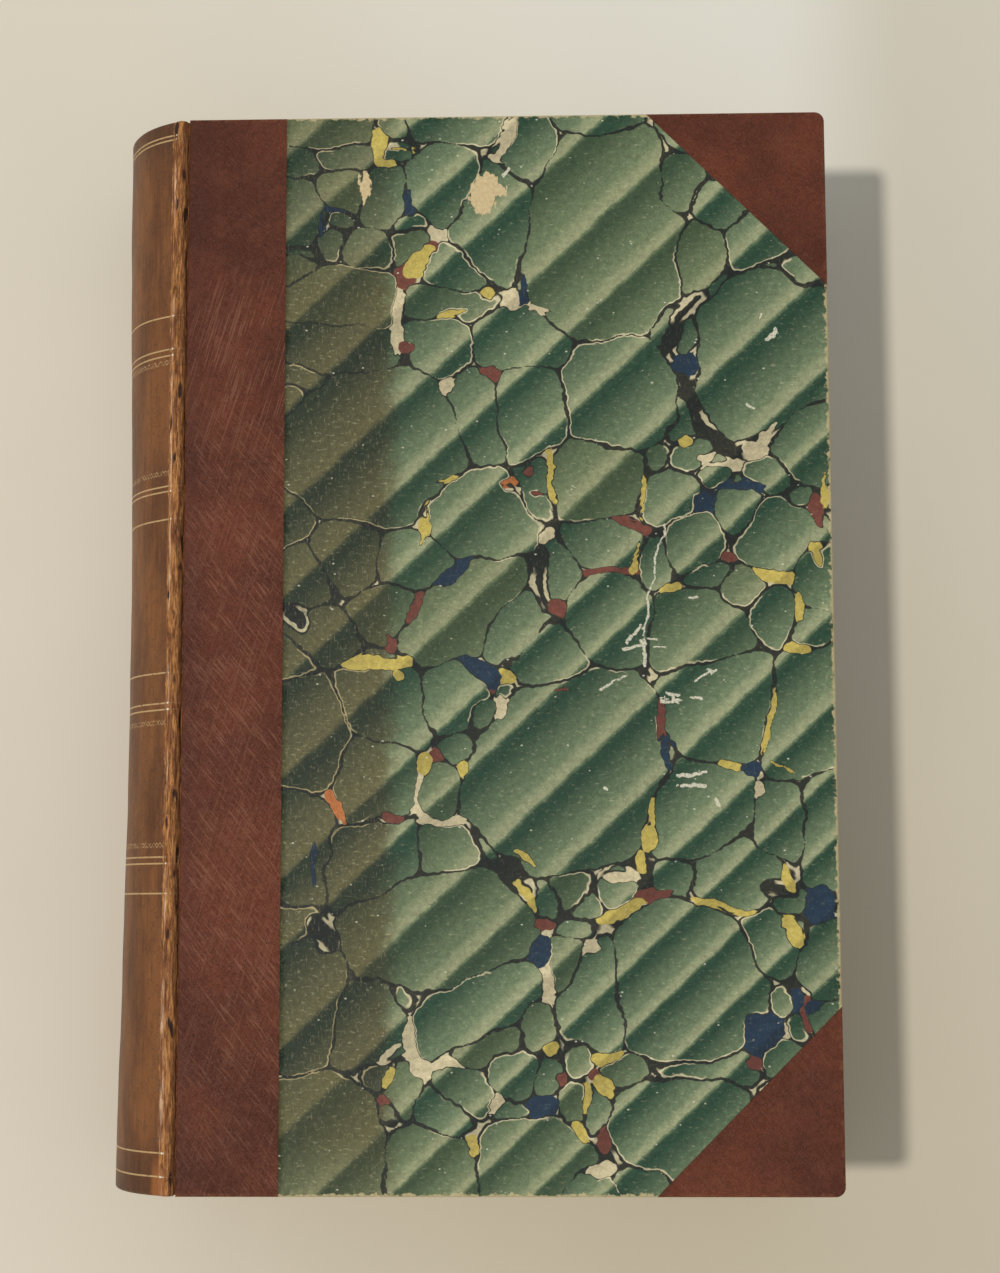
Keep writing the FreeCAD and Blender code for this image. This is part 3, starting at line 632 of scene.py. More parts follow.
def marbledSheet(name, material, turned):
    border, points = sheetPoints(turned)
    loop = list(range(len(border)))
    found = delaunay_2d_cdt([Vector(p) for p in points], [], [loop], 1, 1e-5)
    flat = np.array([tuple(p) for p in found[0]])
    faces = np.array(found[2])
    pattern = mirroredIn(flat)
    fields = stoneFields(pattern, turned)
    count = len(flat)
    placeOf = {}
    for index, sources in enumerate(found[3]):
        for source in sources:
            if source < len(border):
                placeOf[source] = index
    ring = [placeOf[i] for i in range(len(border)) if i in placeOf]
    skin = foldSheet(flat)
    under = foldSheet(flat[ring], paper["thick"] + 0.02)
    points3d = np.vstack([skin, under])
    following = np.roll(np.arange(len(ring)), -1)
    ring = np.array(ring)
    lowRing = count + np.arange(len(ring))
    wall = np.vstack([
        np.column_stack([ring, lowRing, lowRing[following]]),
        np.column_stack([ring, lowRing[following], ring[following]])])
    turn = math.radians(paper["waveTurn"])
    across = -pattern[:, 0] * math.sin(turn) + pattern[:, 1] * math.cos(turn)
    if turned:
        across = -across + paper["turnedWave"]
    fields["phase"] = np.interp(across, waveTurns, np.arange(len(waveTurns)))
    fields["cut"] = np.zeros(count)
    fields["flat"] = np.column_stack([flat, np.full(count, 50.0 * turned)])
    for label, values in fields.items():
        values = np.clip(values, -60, 60) if label == "vein" else values
        fields[label] = np.concatenate([values, values[ring]])
    fields["cut"][count:] = 1.0
    faces = np.vstack([faces, wall])
    if turned:
        points3d[:, 2] = book["thick"] - points3d[:, 2]
        faces = faces[:, ::-1]
    return makeObject(name, points3d, faces, material, fields)


def paperMaterial():
    material, tree, shader = newMaterial("marbled_paper")
    flat = field(tree, "flat", "Vector")
    place = parts(flat)

    # Waves: each starts light at a sharp edge and fades to dark
    shake = noise(flat, 0.22, 3.0)
    fineShake = noise(flat, 1.3, 2.0)
    phase = field(tree, "phase") + between(shake, -0.05, 0.05)
    phase = phase + between(fineShake, -0.015, 0.015)
    within = calc("FRACT", phase)
    light = ramp(within, [
        (0.0, 0.5), (0.03, 0.92), (0.07, 1.0), (0.2, 0.86), (0.38, 0.64), (0.56, 0.38), (0.72, 0.14), (0.86, 0.0),
        (0.968, 0.05), (1.0, 0.5)])

    stained = place[0] + between(noise(flat, 0.3, 3.0), -3.0, 3.0)
    stain = rise(stained, -13.0, -18.5)
    ends = rise(abs(place[1] + 12.0), 98.0, 84.0)
    stain = stain * between(ends, 0.55, 1.0)

    clean = mix(light, tone(32, 63, 45), tone(116, 131, 97))
    clean = mix(rise(light, 0.75, 1.0), clean, tone(146, 150, 114))
    browned = mix(light, tone(34, 46, 32), tone(94, 90, 59))
    stone = mix(stain, clean, browned)
    gain = spread(field(tree, "tint"), -2, 2, 0.9, 1.06)
    stone = shade(stone, gain)
    warm = rise(field(tree, "warm"), 0.6, 1.0)
    stone = mix(warm * 0.18, stone, tone(116, 112, 66))

    # Pale line beside the black, on part of each stone's rim
    bright = between(light, 0.72, 1.06)
    distance = field(tree, "vein")
    rimPart = 1.0 - outlined(flat, distance, 0.2, 0.07, 0.24, 0.6)
    rimHere = rise(field(tree, "rim") + between(shake, -0.8, 0.8), 0.62, 0.85)
    rim = rimPart * rimHere * 0.92
    pale = mix(stain, tone(208, 196, 158), tone(176, 160, 116))
    colour = mix(rim, stone, shade(pale, bright))

    # The web between the stones: black, and other colours near their drops
    web = mix(light, tone(22, 28, 24), tone(44, 44, 36))
    thread = rise(distance, -0.36, -0.48) * rise(distance, -1.2, -1.0)
    thread = thread * rise(noise(flat, 0.14, 1.0), 0.5, 0.55)
    web = mix(thread * 0.9, web, shade(tone(202, 190, 152), bright))
    drops = [
        ("cream", -0.7, tone(202, 188, 150)), ("red", -0.4, tone(112, 62, 50)), ("yellow", -0.3, tone(188, 168, 84)),
        ("orange", -0.3, tone(180, 108, 58)), ("blue", -0.6, tone(30, 50, 68))]
    for label, level, dropColour in drops:
        mask = outlined(flat, field(tree, label), level, 0.08, 1.3, 0.4)
        web = mix(mask, web, shade(dropColour, bright))
    vein = outlined(flat, distance, 0.0, 0.05, 0.12, 0.9)
    inner = outlined(flat, distance, -0.15, 0.05, 0.2, 0.6)
    line = mix(light, tone(24, 32, 26), tone(48, 48, 38))
    web = mix(inner, web, line)
    colour = mix(vein, web, colour)

    # Paper fibres, fine specks and rubbing
    fibres = noise(flat, 2.6, 4.0, 0.75)
    grain = spread(fibres, 0.25, 0.75, 0.74, 1.26)
    colour = shade(colour, grain)
    blotches = noise(flat, 0.85, 3.0, 0.6)
    colour = shade(colour, spread(blotches, 0.3, 0.7, 0.8, 1.2))
    flecks = streaked(flat, (0.8, 1.7, 1.0), 3.0, 0.65, 6)
    fleck = rise(flecks, 0.56, 0.72) * between(light, 0.18, 0.5)
    fleck = fleck * spread(vein, 0, 1, 0.2, 1.0)
    colour = mix(fleck, colour, tone(186, 182, 142))
    hatch = streaked(flat, (3.0, 0.5, 1.0), 3.0, 0.75, 14)
    rubbed = rise(hatch, 0.56, 0.72) * between(stain, 0.1, 0.34)
    colour = mix(rubbed, colour, tone(176, 164, 126))
    specks = rise(cells(stretched(flat, (0.8, 1.2, 1.0), 10), 0.62), 0.16, 0.08)
    chosen = rise(noise(flat, 0.31, 2.0), 0.58, 0.64)
    speck = specks * chosen * 0.62
    colour = mix(speck, colour, tone(222, 216, 192))

    # Wear along the folds, bare spots and scratches
    toEdge = most(abs(place[1]) - book["halfLength"], place[0] - 73.6)
    edgeNoise = between(noise(flat, 0.7, 3.0, 0.6), -1.5, 1.5)
    worn = rise(toEdge + edgeNoise, -0.75, -0.25)
    worn = worn * rise(toEdge, 4.0, 2.0)
    board = mix(noise(flat, 1.2, 2.0), tone(206, 192, 150), tone(172, 152, 108))
    colour = mix(worn * 0.85, colour, board)
    for label, level, lineColour in (("scratch", -0.03, tone(222, 214, 190)), ("scuff", 0.0, tone(30, 32, 30))):
        mask = outlined(flat, field(tree, label), level, 0.07, 0.5, 1.2, 3.0)
        colour = mix(mask * between(rise(fibres, 0.36, 0.56), 0.3, 0.9), colour, lineColour)
    bare = outlined(stretched(flat, (2.2, 0.8, 1.0)), field(tree, "peel"), 0.1, 0.12, 3.4, 0.55, 4.0)
    bareColour = mix(noise(flat, 1.6, 3.0), tone(226, 204, 160), tone(172, 148, 106))
    colour = mix(bare, colour, bareColour)
    colour = mix(field(tree, "cut"), colour, tone(188, 168, 128))
    sheen = between(fibres, 0.46, 0.62) + bare * 0.3
    finish(tree, shader, colour, sheen, 0.2, raised(fibres * 0.5 - bare, 0.00006, 0.5))
    return material


marbled = paperMaterial()
for side, body, turned in (("front", "front_cover", False), ("back", "back_cover", True)):
    sheet = marbledSheet(f"{side}_marbled_sheet", marbled, turned)
    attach(sheet, body)
    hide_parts(f"{side}_marbled_paper")
    print(sheet.name, len(sheet.data.polygons), "faces")


# Leather of the spine: one skin over both ridges, with the ends turned in as caps

spine = {
    "ridgeX": -61.6,
    "ridgeMid": -59.95,
    "grooveX": -58.42,
    "grooveHalf": 19.7,
    "ridgeHalf": 20.65,
    "archHalf": 19.8,
    "rows": 441,
    "capDepth": 2.4,
    "capRound": 0.6,
    "ridgeWidth": 3.6,
    "ridgeFade": 3.0,
    "ridgeDepth": 0.85,
    "halfWidth": 28.45,
}

# How far the back has sunk in, at heights along the spine
sunkPlaces = (-110, -100, -88, -70, -50, -29, -9, 12, 32, 52, 73, 93, 110)
sunkDepths = (0, 0.05, 0.2, 0.62, 0.8, 1.2, 1.25, 1.3, 1.05, 0.66, 0.2, 0.03, 0)


def sunkAt(y):
    fine = np.linspace(-110, 110, 221)
    curve = np.interp(fine, sunkPlaces, sunkDepths)
    kernel = np.hanning(23)
    padded = np.pad(curve, 11, mode="edge")
    return np.interp(y, fine, np.convolve(padded, kernel / kernel.sum(), mode="valid"))


def circleThrough(first, middle, last, count):
    (ax, ay), (bx, by), (cx, cy) = first, middle, last
    d = 2 * (ax * (by - cy) + bx * (cy - ay) + cx * (ay - by))
    ux = ((ax * ax + ay * ay) * (by - cy) + (bx * bx + by * by) * (cy - ay) + (cx * cx + cy * cy) * (ay - by)) / d
    uy = ((ax * ax + ay * ay) * (cx - bx) + (bx * bx + by * by) * (ax - cx) + (cx * cx + cy * cy) * (bx - ax)) / d
    start, end = math.atan2(ay - uy, ax - ux), math.atan2(cy - uy, cx - ux)
    radius = math.hypot(ax - ux, ay - uy)
    turns = np.linspace(start, end, count)
    return np.column_stack([ux + radius * np.cos(turns), uy + radius * np.sin(turns)])


# Section from the front groove over the ridge and round the back to the other groove: x, height over the middle
def spineSection():
    foot = (spine["ridgeX"], spine["archHalf"])
    upper = circleThrough((spine["grooveX"], spine["grooveHalf"]), (spine["ridgeMid"], spine["ridgeHalf"]), foot, 22)
    half = math.asin(spine["archHalf"] / book["archRadius"])
    turns = np.linspace(half, -half, 84)[1:-1]
    radius = book["archRadius"]
    back = np.column_stack([book["archX"] - radius * np.cos(turns), radius * np.sin(turns)])
    section = np.vstack([upper, back, (upper * (1, -1))[::-1]])
    tangent = np.gradient(section, axis=0)
    normal = np.column_stack([tangent[:, 1], -tangent[:, 0]])
    normal /= np.linalg.norm(normal, axis=1)[:, None]
    outside = section - (-48.0, 0.0)
    normal *= np.sign((normal * outside).sum(axis=1))[:, None]
    length = np.concatenate([[0], np.cumsum(np.linalg.norm(np.diff(section, axis=0), axis=1))])
    return section, normal, length


def gridFaces(rows, columns, close=False):
    index = np.arange(rows * columns).reshape(rows, columns)
    if close:
        index = np.concatenate([index, index[:, :1]], axis=1)
    return np.stack([index[:-1, :-1], index[:-1, 1:], index[1:, 1:], index[1:, :-1]], axis=-1).reshape(-1, 4)


def spineSkin(material):
    section, normal, length = spineSection()
    total = length[-1]
    end = book["halfLength"]
    bend = spine["capRound"]
    straight = [(0.0, y) for y in np.linspace(-end + bend, end - bend, spine["rows"])]
    turn = [(bend * (1 - math.cos(a)), end - bend + bend * math.sin(a)) for a in np.linspace(0.25, math.pi / 2, 5)]
    lip = [(1.2, 0.0), (1.9, 0.03), (2.25, 0.2), (spine["capDepth"], 0.5), (2.2, 0.9), (1.0, 1.0)]
    over = turn + [(depth, end - drop) for depth, drop in lip]
    path = [(d, -y) for d, y in over][::-1] + straight + over
    pastRidge = np.minimum(length, total - length) - spine["ridgeWidth"]
    onRidge = np.clip(1 - pastRidge, 0, 1)
    alongBack = np.clip(pastRidge / spine["ridgeFade"], 0, 1)
    limit = spine["ridgeDepth"] + (spine["capDepth"] - spine["ridgeDepth"]) * alongBack
    fromMiddle = abs(length - total / 2) / (total / 2)
    points, ridge, along, height = [], [], [], []
    for depth, y in path:
        inset = np.minimum(depth, limit) + sunkAt(y) * (1 - fromMiddle ** 2.2) * alongBack
        row = section - normal * inset[:, None]
        points.append(atHeight(row[:, 0], y, book["middle"] + row[:, 1]))
        ridge.append(onRidge)
        along.append(length - total / 2)
        height.append(np.full(len(row), y))
    points = np.vstack(points)
    ridge, along, height = np.concatenate(ridge), np.concatenate(along), np.concatenate(height)
    flat = np.column_stack([along, height, np.zeros(len(along))])

    # The ridge is cracked and crumbled; the back only waves a little
    crumb = ripple(flat * (1.6, 0.35, 1), 1.5, 31) * 0.06 + ripple(flat * (1.8, 0.6, 1), 0.7, 32) * 0.03
    chips = np.clip(ripple(flat * (1.4, 0.5, 1), 3.2, 33) - 0.55, 0, 1) * 0.35
    rough = ridge * (crumb - chips) - 0.05 * ridge + (1 - ridge) * (ripple(flat, 14.0, 34) * 0.05 - 0.05)
    normals = np.tile(normal, (len(path), 1))
    rough = np.minimum(rough, 0.0)
    points[:, 0] += normals[:, 0] * rough
    points[:, 2] += normals[:, 1] * rough
    faces = gridFaces(len(path), len(section))
    fields = {"ridge": ridge, "flat": flat, "crumb": rough}
    return makeObject("spine_leather_skin", points, faces, material, fields)


# Gilt rules and rolls on the spine, as heights along it in millimetres
gilt = {
    "ruleHeights": (107.0, 106.1, 68.3, 61.3, 60.0, 32.6, 31.5, 25.7,
                    -5.9, -12.1, -13.4, -43.2, -44.5, -50.5, -101.6, -106.2),
    "rollHeights": (58.6, 35.4, -16.0, -40.8),
    "ruleHalf": 0.15,
    "rollSwing": 0.42,
    "rollStep": 1.9,
}


def spineMaterial():
    material, tree, shader = newMaterial("spine_leather")
    flat = field(tree, "flat", "Vector")
    place = parts(flat)
    grain = useGroup(leatherGrain, {"Vector": flat, "Pebble": 2.2, "Crease": 0.3})
    ridge = field(tree, "ridge")

    streaks = streaked(flat, (1.6, 0.07, 1.0), 4.0, 0.7)
    patches = streaked(flat, (0.12, 0.035, 1.0), 3.0, 0.6)
    base = mix(rise(patches, 0.34, 0.66), tone(92, 54, 27), tone(124, 77, 39))
    base = mix(rise(streaks, 0.5, 0.72) * 0.5, base, tone(74, 40, 22))
    base = mix(rise(streaks, 0.46, 0.3) * 0.4, base, tone(140, 90, 48))
    ends = rise(abs(place[1]), 96.0, 109.5)
    base = mix(ends * 0.55, base, tone(58, 36, 24))
    fine = spread(noise(flat, 3.5, 3.0, 0.7), 0.25, 0.75, 0.82, 1.18)
    base = shade(base, fine)
    base = mix(grain["Creases"] * 0.4, base, tone(50, 28, 16))

    # Worn ridge: orange-tan underside of the leather with dark cracks and red-brown rests of the surface; painted
    # shade in its chipped pits and towards the groove, and a painted highlight on its left flank
    crumbs = streaked(flat, (1.9, 0.2, 1.0), 5.0, 0.7)
    rubbed = mix(rise(crumbs, 0.38, 0.62), tone(122, 70, 34), tone(194, 134, 74))
    rests = rise(streaked(flat, (0.8, 0.07, 1.0), 3.0, 0.6), 0.5, 0.62)
    rubbed = mix(rests * 0.7, rubbed, tone(108, 62, 36))
    cracks = streaked(flat, (1.5, 0.11, 1.0), 4.0, 0.7, 2)
    crackMask = rise(abs(cracks - 0.5), 0.03, 0.008)
    # Painted shade in the chipped pits: darker where the ridge's surface sinks deeper
    pitShade = rise(field(tree, "crumb"), -0.15, -0.3)
    fromJoint = spine["halfWidth"] - abs(place[0])
    # Painted highlight: a pale glossy streak on the ridge's left flank, wider towards the tail
    flankHalf = spread(place[1], -45.0, -75.0, 0.42, 0.85)
    flankMiddle = spread(patches, 0.3, 0.7, -0.35, 0.35) + 3.5
    flank = rise(abs(fromJoint - flankMiddle), flankHalf, 0.1)
    paintedShine = flank * rise(streaked(flat, (0.5, 0.09, 1.0), 3.0), 0.42, 0.56)
    # The dark cracks together with the painted pit shade darken the ridge colour and lower its bump
    cracksAndPitShade = most(crackMask * 0.6, pitShade)
    # Painted shade: the ridge colour is darkened towards the groove beside the board
    grooveShade = rise(fromJoint, 1.9, 0.9)
    rubbed = mix(grooveShade * 0.38, rubbed, tone(84, 46, 26))
    rubbed = mix(cracksAndPitShade, rubbed, tone(52, 28, 15))
    ridgeMask = outlined(flat, ridge, 0.5, 0.2, 0.9, 0.7)
    colour = mix(ridgeMask, base, rubbed)
    # The highlight streak is painted pale into the colour
    paintedShineColour = mix(rise(crumbs, 0.4, 0.62), tone(160, 112, 78), tone(226, 192, 160))
    colour = mix(paintedShine * 0.75, colour, paintedShineColour)
    tailSpot = rise(place[1], -101.0, -107.0) * rise(abs(fromJoint - 4.2), 2.4, 1.2)
    colour = mix(tailSpot * 0.7, colour, tone(156, 94, 44))

    # Gilding: straight rules and waved rolls, partly rubbed away
    ruleHalf = gilt["ruleHalf"]
    rules = reduce(most, [
        rise(abs(place[1] - height), ruleHalf + 0.06, ruleHalf - 0.04) for height in gilt["ruleHeights"]])
    swing = calc("SINE", place[0] * (2 * math.pi / gilt["rollStep"])) * gilt["rollSwing"]
    rolls = reduce(most, [
        rise(abs(place[1] - height - swing * way), 0.2, 0.08)
        for height in gilt["rollHeights"] for way in (1.0, -1.0)])
    wearNoise = noise(flat, 1.1, 4.0, 0.7)
    rules = rules * rise(wearNoise, 0.3, 0.46)
    rolls = rolls * rise(wearNoise, 0.42, 0.56)
    gold = most(rules, rolls * 0.7) * between(ridge, 0.85, 0.08)
    colour = mix(gold, colour, tone(206, 172, 122))
    # Painted highlight: near-white glints on the gilt rules where they cross the ridge's left flank
    paintedGlint = rules * flank * rise(wearNoise, 0.42, 0.5)
    colour = mix(paintedGlint, colour, tone(246, 236, 214))
    connect(tree, shader, {"Metallic": gold * 0.45})

    smooth = spread(streaks, 0.2, 0.8, 0.34, 0.5)
    rough = result("Mix", {"Factor": ridgeMask, "A": smooth, "B": 0.62}, data_type="FLOAT")
    relief = grain["Height"] * 0.25 + crumbs * ridge * 2.0 - cracksAndPitShade * ridge * 1.2 - gold * 0.4
    finish(tree, shader, colour, rough, 0.24, raised(relief, 0.00016, 0.6))
    return material


spineLeather = spineMaterial()
skin = spineSkin(spineLeather)
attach(skin, "text_block")
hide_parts("spine_leather")
print("spine skin made")


# Card under the spine leather, sunk in with it

cardSizes = {"halfWidth": 17.2, "halfLength": 108.9, "radius": 21.3, "sunkShare": 0.62, "columns": 50, "rows": 90}


def curvedCard():
    half = math.asin(cardSizes["halfWidth"] / book["archRadius"])
    turns = np.linspace(half, -half, cardSizes["columns"])
    rows = np.linspace(-cardSizes["halfLength"], cardSizes["halfLength"], cardSizes["rows"])
    points = []
    for y in rows:
        radius = cardSizes["radius"] - cardSizes["sunkShare"] * sunkAt(y) * np.cos(turns)
        x = book["archX"] - radius * np.cos(turns)
        points.append(atHeight(x, y, book["middle"] + radius * np.sin(turns)))
    return np.vstack(points), gridFaces(len(rows), len(turns))


def plainMaterial(name, first, second, scale, rough, bump=0.00005, stretch=(1.0, 1.0, 1.0)):
    material, tree, shader = newMaterial(name)
    place = millimetres(tree)
    drawn = stretched(place, stretch)
    patches = noise(drawn, scale, 4.0, 0.6)
    fine = noise(drawn, scale * 14, 2.0, 0.6)
    colour = mix(rise(patches, 0.3, 0.7), first, second)
    colour = shade(colour, spread(fine, 0.25, 0.75, 0.86, 1.14))
    finish(tree, shader, colour, between(fine, rough - 0.08, rough + 0.08), 0.2, raised(fine, bump, 0.5))
    return material


# A CAD piece keeps its mesh and gets only a material and a slot
def dress(name, material):
    nodes[name].data.materials.clear()
    nodes[name].data.materials.append(material)


card = plainMaterial("card", tone(150, 136, 110), tone(124, 110, 86), 0.2, 0.85)
inlayPoints, inlayFaces = curvedCard()
inlay = makeObject("spine_card", inlayPoints, inlayFaces, card)
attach(inlay, "text_block")
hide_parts("spine_inlay")


# Endbands: silk wound round a core in turns of two colours

endbandSizes = {
    "radius": 0.85, "centre": 19.8, "along": 108.0, "halfWidth": 18.1, "thread": 0.42, "stripe": 2.52,
    "rows": 620, "around": 14,
}


def endbandMesh(name, side, material):
    half = math.asin(endbandSizes["halfWidth"] / book["archRadius"])
    turns = np.linspace(half, -half, endbandSizes["rows"])
    around = np.linspace(0, 2 * math.pi, endbandSizes["around"], endpoint=False)
    arc = turns * endbandSizes["centre"]
    points, wrap = [], []
    for turn, length in zip(turns, arc):
        phase = length / endbandSizes["thread"] * 2 * math.pi
        radius = endbandSizes["radius"] * (0.95 + 0.05 * np.cos(phase + around))
        reach = endbandSizes["centre"] + radius * np.cos(around)
        points.append(np.column_stack([
            book["archX"] - reach * math.cos(turn),
            np.full(len(around), side * endbandSizes["along"]) + radius * np.sin(around),
            book["middle"] + reach * math.sin(turn)]))
        wrap.append(length + around * endbandSizes["thread"] / (2 * math.pi))
    wrap = np.concatenate(wrap)
    faces = gridFaces(len(turns), len(around), close=True)
    return makeObject(name, np.vstack(points), faces, material, {"wrap": wrap})


def silkMaterial():
    material, tree, shader = newMaterial("endband_silk")
    place = millimetres(tree)
    step = calc("FRACT", field(tree, "wrap") / endbandSizes["stripe"])
    stripe = rise(step, 0.48, 0.52)
    colour = mix(stripe, tone(176, 160, 120), tone(112, 44, 34))
    dirt = noise(place, 0.8, 3.0)
    colour = mix(spread(dirt, 0.3, 0.7, 0.0, 0.45), colour, tone(88, 72, 54))
    finish(tree, shader, colour, between(dirt, 0.4, 0.6))
    return material


silk = silkMaterial()
for name, side in (("head", 1), ("tail", -1)):
    band = endbandMesh(f"{name}_wound_endband", side, silk)
    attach(band, "text_block")
    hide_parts(f"{name}_endband")
print("endbands made")


# Joint leather: it lies in the groove between the spine and a cover

joint = {
    "innerX": -58.55, "outerX": -58.1, "height": 40.75, "sag": 0.42, "climb": 0.55, "thick": 0.28,
    "halfLength": 109.7, "columns": 15, "rows": 150, "blendFrom": 40.62, "blendTo": 41.3,
}


def jointStrip(name, upper, material):
    rows = np.linspace(-joint["halfLength"], joint["halfLength"], joint["rows"])
    share = np.linspace(0, 1, joint["columns"])
    x = joint["innerX"] + (joint["outerX"] - joint["innerX"]) * share
    z = joint["height"] - joint["sag"] * np.sin(share * math.pi) + joint["climb"] * share
    outer = np.column_stack([x, z])
    inner = outer - np.column_stack([0.05 * (0.5 - share), np.full(len(share), joint["thick"])])
    ring = np.vstack([outer, inner[::-1]])
    points = np.vstack([atHeight(ring[:, 0], y, ring[:, 1]) for y in rows])
    if not upper:
        points[:, 2] = book["thick"] - points[:, 2]
    flat = np.column_stack([points[:, 0] * 2, points[:, 1], points[:, 2]])
    return makeObject(name, points, gridFaces(len(rows), len(ring), close=True), material, {
        "flat": flat, "ridge": np.ones(len(points)), "crumb": np.zeros(len(points))})


# Endpaper in the inner joint: over the shoulder of the leaves, and up the spine edge of the board
hinge = {
    "half": 106.9,
    "lift": 0.04,
    "shoulder": ((-56.9, 38.32), (-57.55, 38.2), (-57.9, 38.75), (-58.3, 39.42)),
    "edge": ((-57.3, 38.37), (-57.62, 38.42), (-57.66, 39.4), (-57.66, 40.6)),
}


def hingePaper(name, route, upper, material):
    rows = np.linspace(-hinge["half"], hinge["half"], 108)
    route = np.array(route)
    shake = np.column_stack([rows * 0, rows])
    points = []
    for y, sway in zip(rows, ripple(shake, 23.0, 41)):
        row = route + np.array([-0.03, hinge["lift"] * 0.2]) * (1 + sway)
        points.append(atHeight(row[:, 0], y, row[:, 1]))
    points = np.vstack(points)
    if not upper:
        points[:, 2] = book["thick"] - points[:, 2]
    return makeObject(name, points, gridFaces(len(rows), len(route)), material)


for side, upper in (("front", True), ("back", False)):
    strip = jointStrip(f"{side}_joint_leather", upper, spineLeather)
    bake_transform(strip)
print("joints made")


# Leather of the sides and corners

def coverLeather():
    material, tree, shader = newMaterial("cover_leather")
    place = millimetres(tree)
    at = parts(place)
    grain = useGroup(leatherGrain, {"Vector": place, "Pebble": 1.9, "Crease": 0.5})
    broad = noise(place, 0.035, 3.0, 0.55)
    base = mix(rise(broad, 0.35, 0.65), tone(80, 37, 21), tone(103, 51, 30))
    base = mix(rise(grain["Patches"], 0.45, 0.7) * 0.5, base, tone(104, 58, 38))
    fine = spread(noise(place, 2.6, 4.0, 0.72), 0.25, 0.75, 0.72, 1.28)
    base = shade(base, fine)
    base = mix(grain["Creases"] * 0.45, base, tone(40, 20, 14))

    # Fine parallel scratches beside the spine, crossed lower down
    near = rise(at[0], -20.0, -34.0)
    fade = rise(at[1], 84.0, 66.0)
    low = rise(at[1], 52.0, 36.0)
    first = scratched(place, (3.0, 0.07, 1.0), 17, 0.64)
    second = scratched(place, (3.0, 0.16, 1.0), -38, 0.66)
    third = scratched(place, (3.4, 0.3, 1.0), -55, 0.72)
    lines = first * fade * between(low, 1.0, 0.45)
    lines = most(lines, second * between(low, 0.08, 1.0))
    lines = lines * between(near, 0.3, 1.0)
    lines = most(lines, third * 0.4)
    lines = lines * between(rise(at[1], -70.0, -96.0), 1.0, 0.65)
    base = mix(lines * 0.32, base, tone(158, 108, 84))
    beside = rise(at[0], -51.0, -58.0) * 0.32
    base = mix(beside, base, tone(62, 30, 22))

    # Rubbed along the outer edges
    toEdge = most(at[0] - book["foreEdge"], abs(at[1]) - book["halfLength"])
    shaken = toEdge + between(noise(place, 0.5, 4.0, 0.7), -1.6, 1.6)
    worn = rise(shaken, -0.7, 0.3) * 0.7
    base = mix(worn, base, tone(124, 76, 48))
    roughness = spread(grain["Patches"], 0.3, 0.7, 0.44, 0.58)
    finish(tree, shader, base, roughness, 0.18, raised(grain["Height"] - lines * 0.3, 0.00008, 0.55))
    return material


hide = coverLeather()
for side in ("front", "back"):
    for piece in ("leather_side", "corner_head", "corner_tail"):
        dress(f"{side}_{piece}", hide)


# The leaves: a stack of thin sheets in sewn sections, cut at the edges

def leavesMaterial():
    material, tree, shader = newMaterial("page_edges")
    place = millimetres(tree)
    shake = streaked(place, (0.02, 0.02, 0.4), 3.0)
    lift = result("CombineXYZ", {2: between(shake, -0.3, 0.3)})
    shifted = result("VectorMath", {0: place, 1: lift}, operation="ADD")
    sheets = streaked(shifted, (0.012, 0.012, 7.0), 3.0, 0.8)
    sections = streaked(shifted, (0.01, 0.01, 0.75), 2.0, 0.6)
    stains = noise(place, 0.05, 4.0, 0.6)
    colour = mix(rise(sheets, 0.36, 0.62), tone(140, 116, 80), tone(214, 196, 158))
    colour = mix(rise(sections, 0.52, 0.4) * 0.4, colour, tone(120, 96, 64))
    colour = mix(rise(stains, 0.5, 0.7) * 0.4, colour, tone(150, 122, 82))
    finish(tree, shader, colour, between(stains, 0.75, 0.9), 0.2, raised(sheets + sections, 0.00025, 0.8))
    return material


def endpaperMaterial():
    material, tree, shader = newMaterial("endpaper")
    place = millimetres(tree)
    at = parts(place)
    broad = noise(place, 0.02, 4.0, 0.6)
    colour = mix(rise(broad, 0.35, 0.65), tone(206, 190, 156), tone(190, 170, 132))
    toEdge = most(at[0] - book["leafEdge"], abs(at[1]) - book["leafHalf"])
    burn = toEdge + between(noise(place, 0.08, 3.0), -10.0, 10.0)
    colour = mix(rise(burn, -20.0, 2.0) * 0.5, colour, tone(160, 128, 84))
    spots = rise(cells(place, 0.09), 0.16, 0.05)
    few = rise(noise(place, 0.07, 2.0), 0.54, 0.6)
    fox = spots * few * 0.45
    colour = mix(fox, colour, tone(142, 94, 52))
    fibres = noise(place, 3.0, 3.0, 0.7)
    colour = shade(colour, spread(fibres, 0.25, 0.75, 0.95, 1.05))
    finish(tree, shader, colour, between(fibres, 0.72, 0.85), 0.2, raised(fibres, 0.00004, 0.5))
    return material


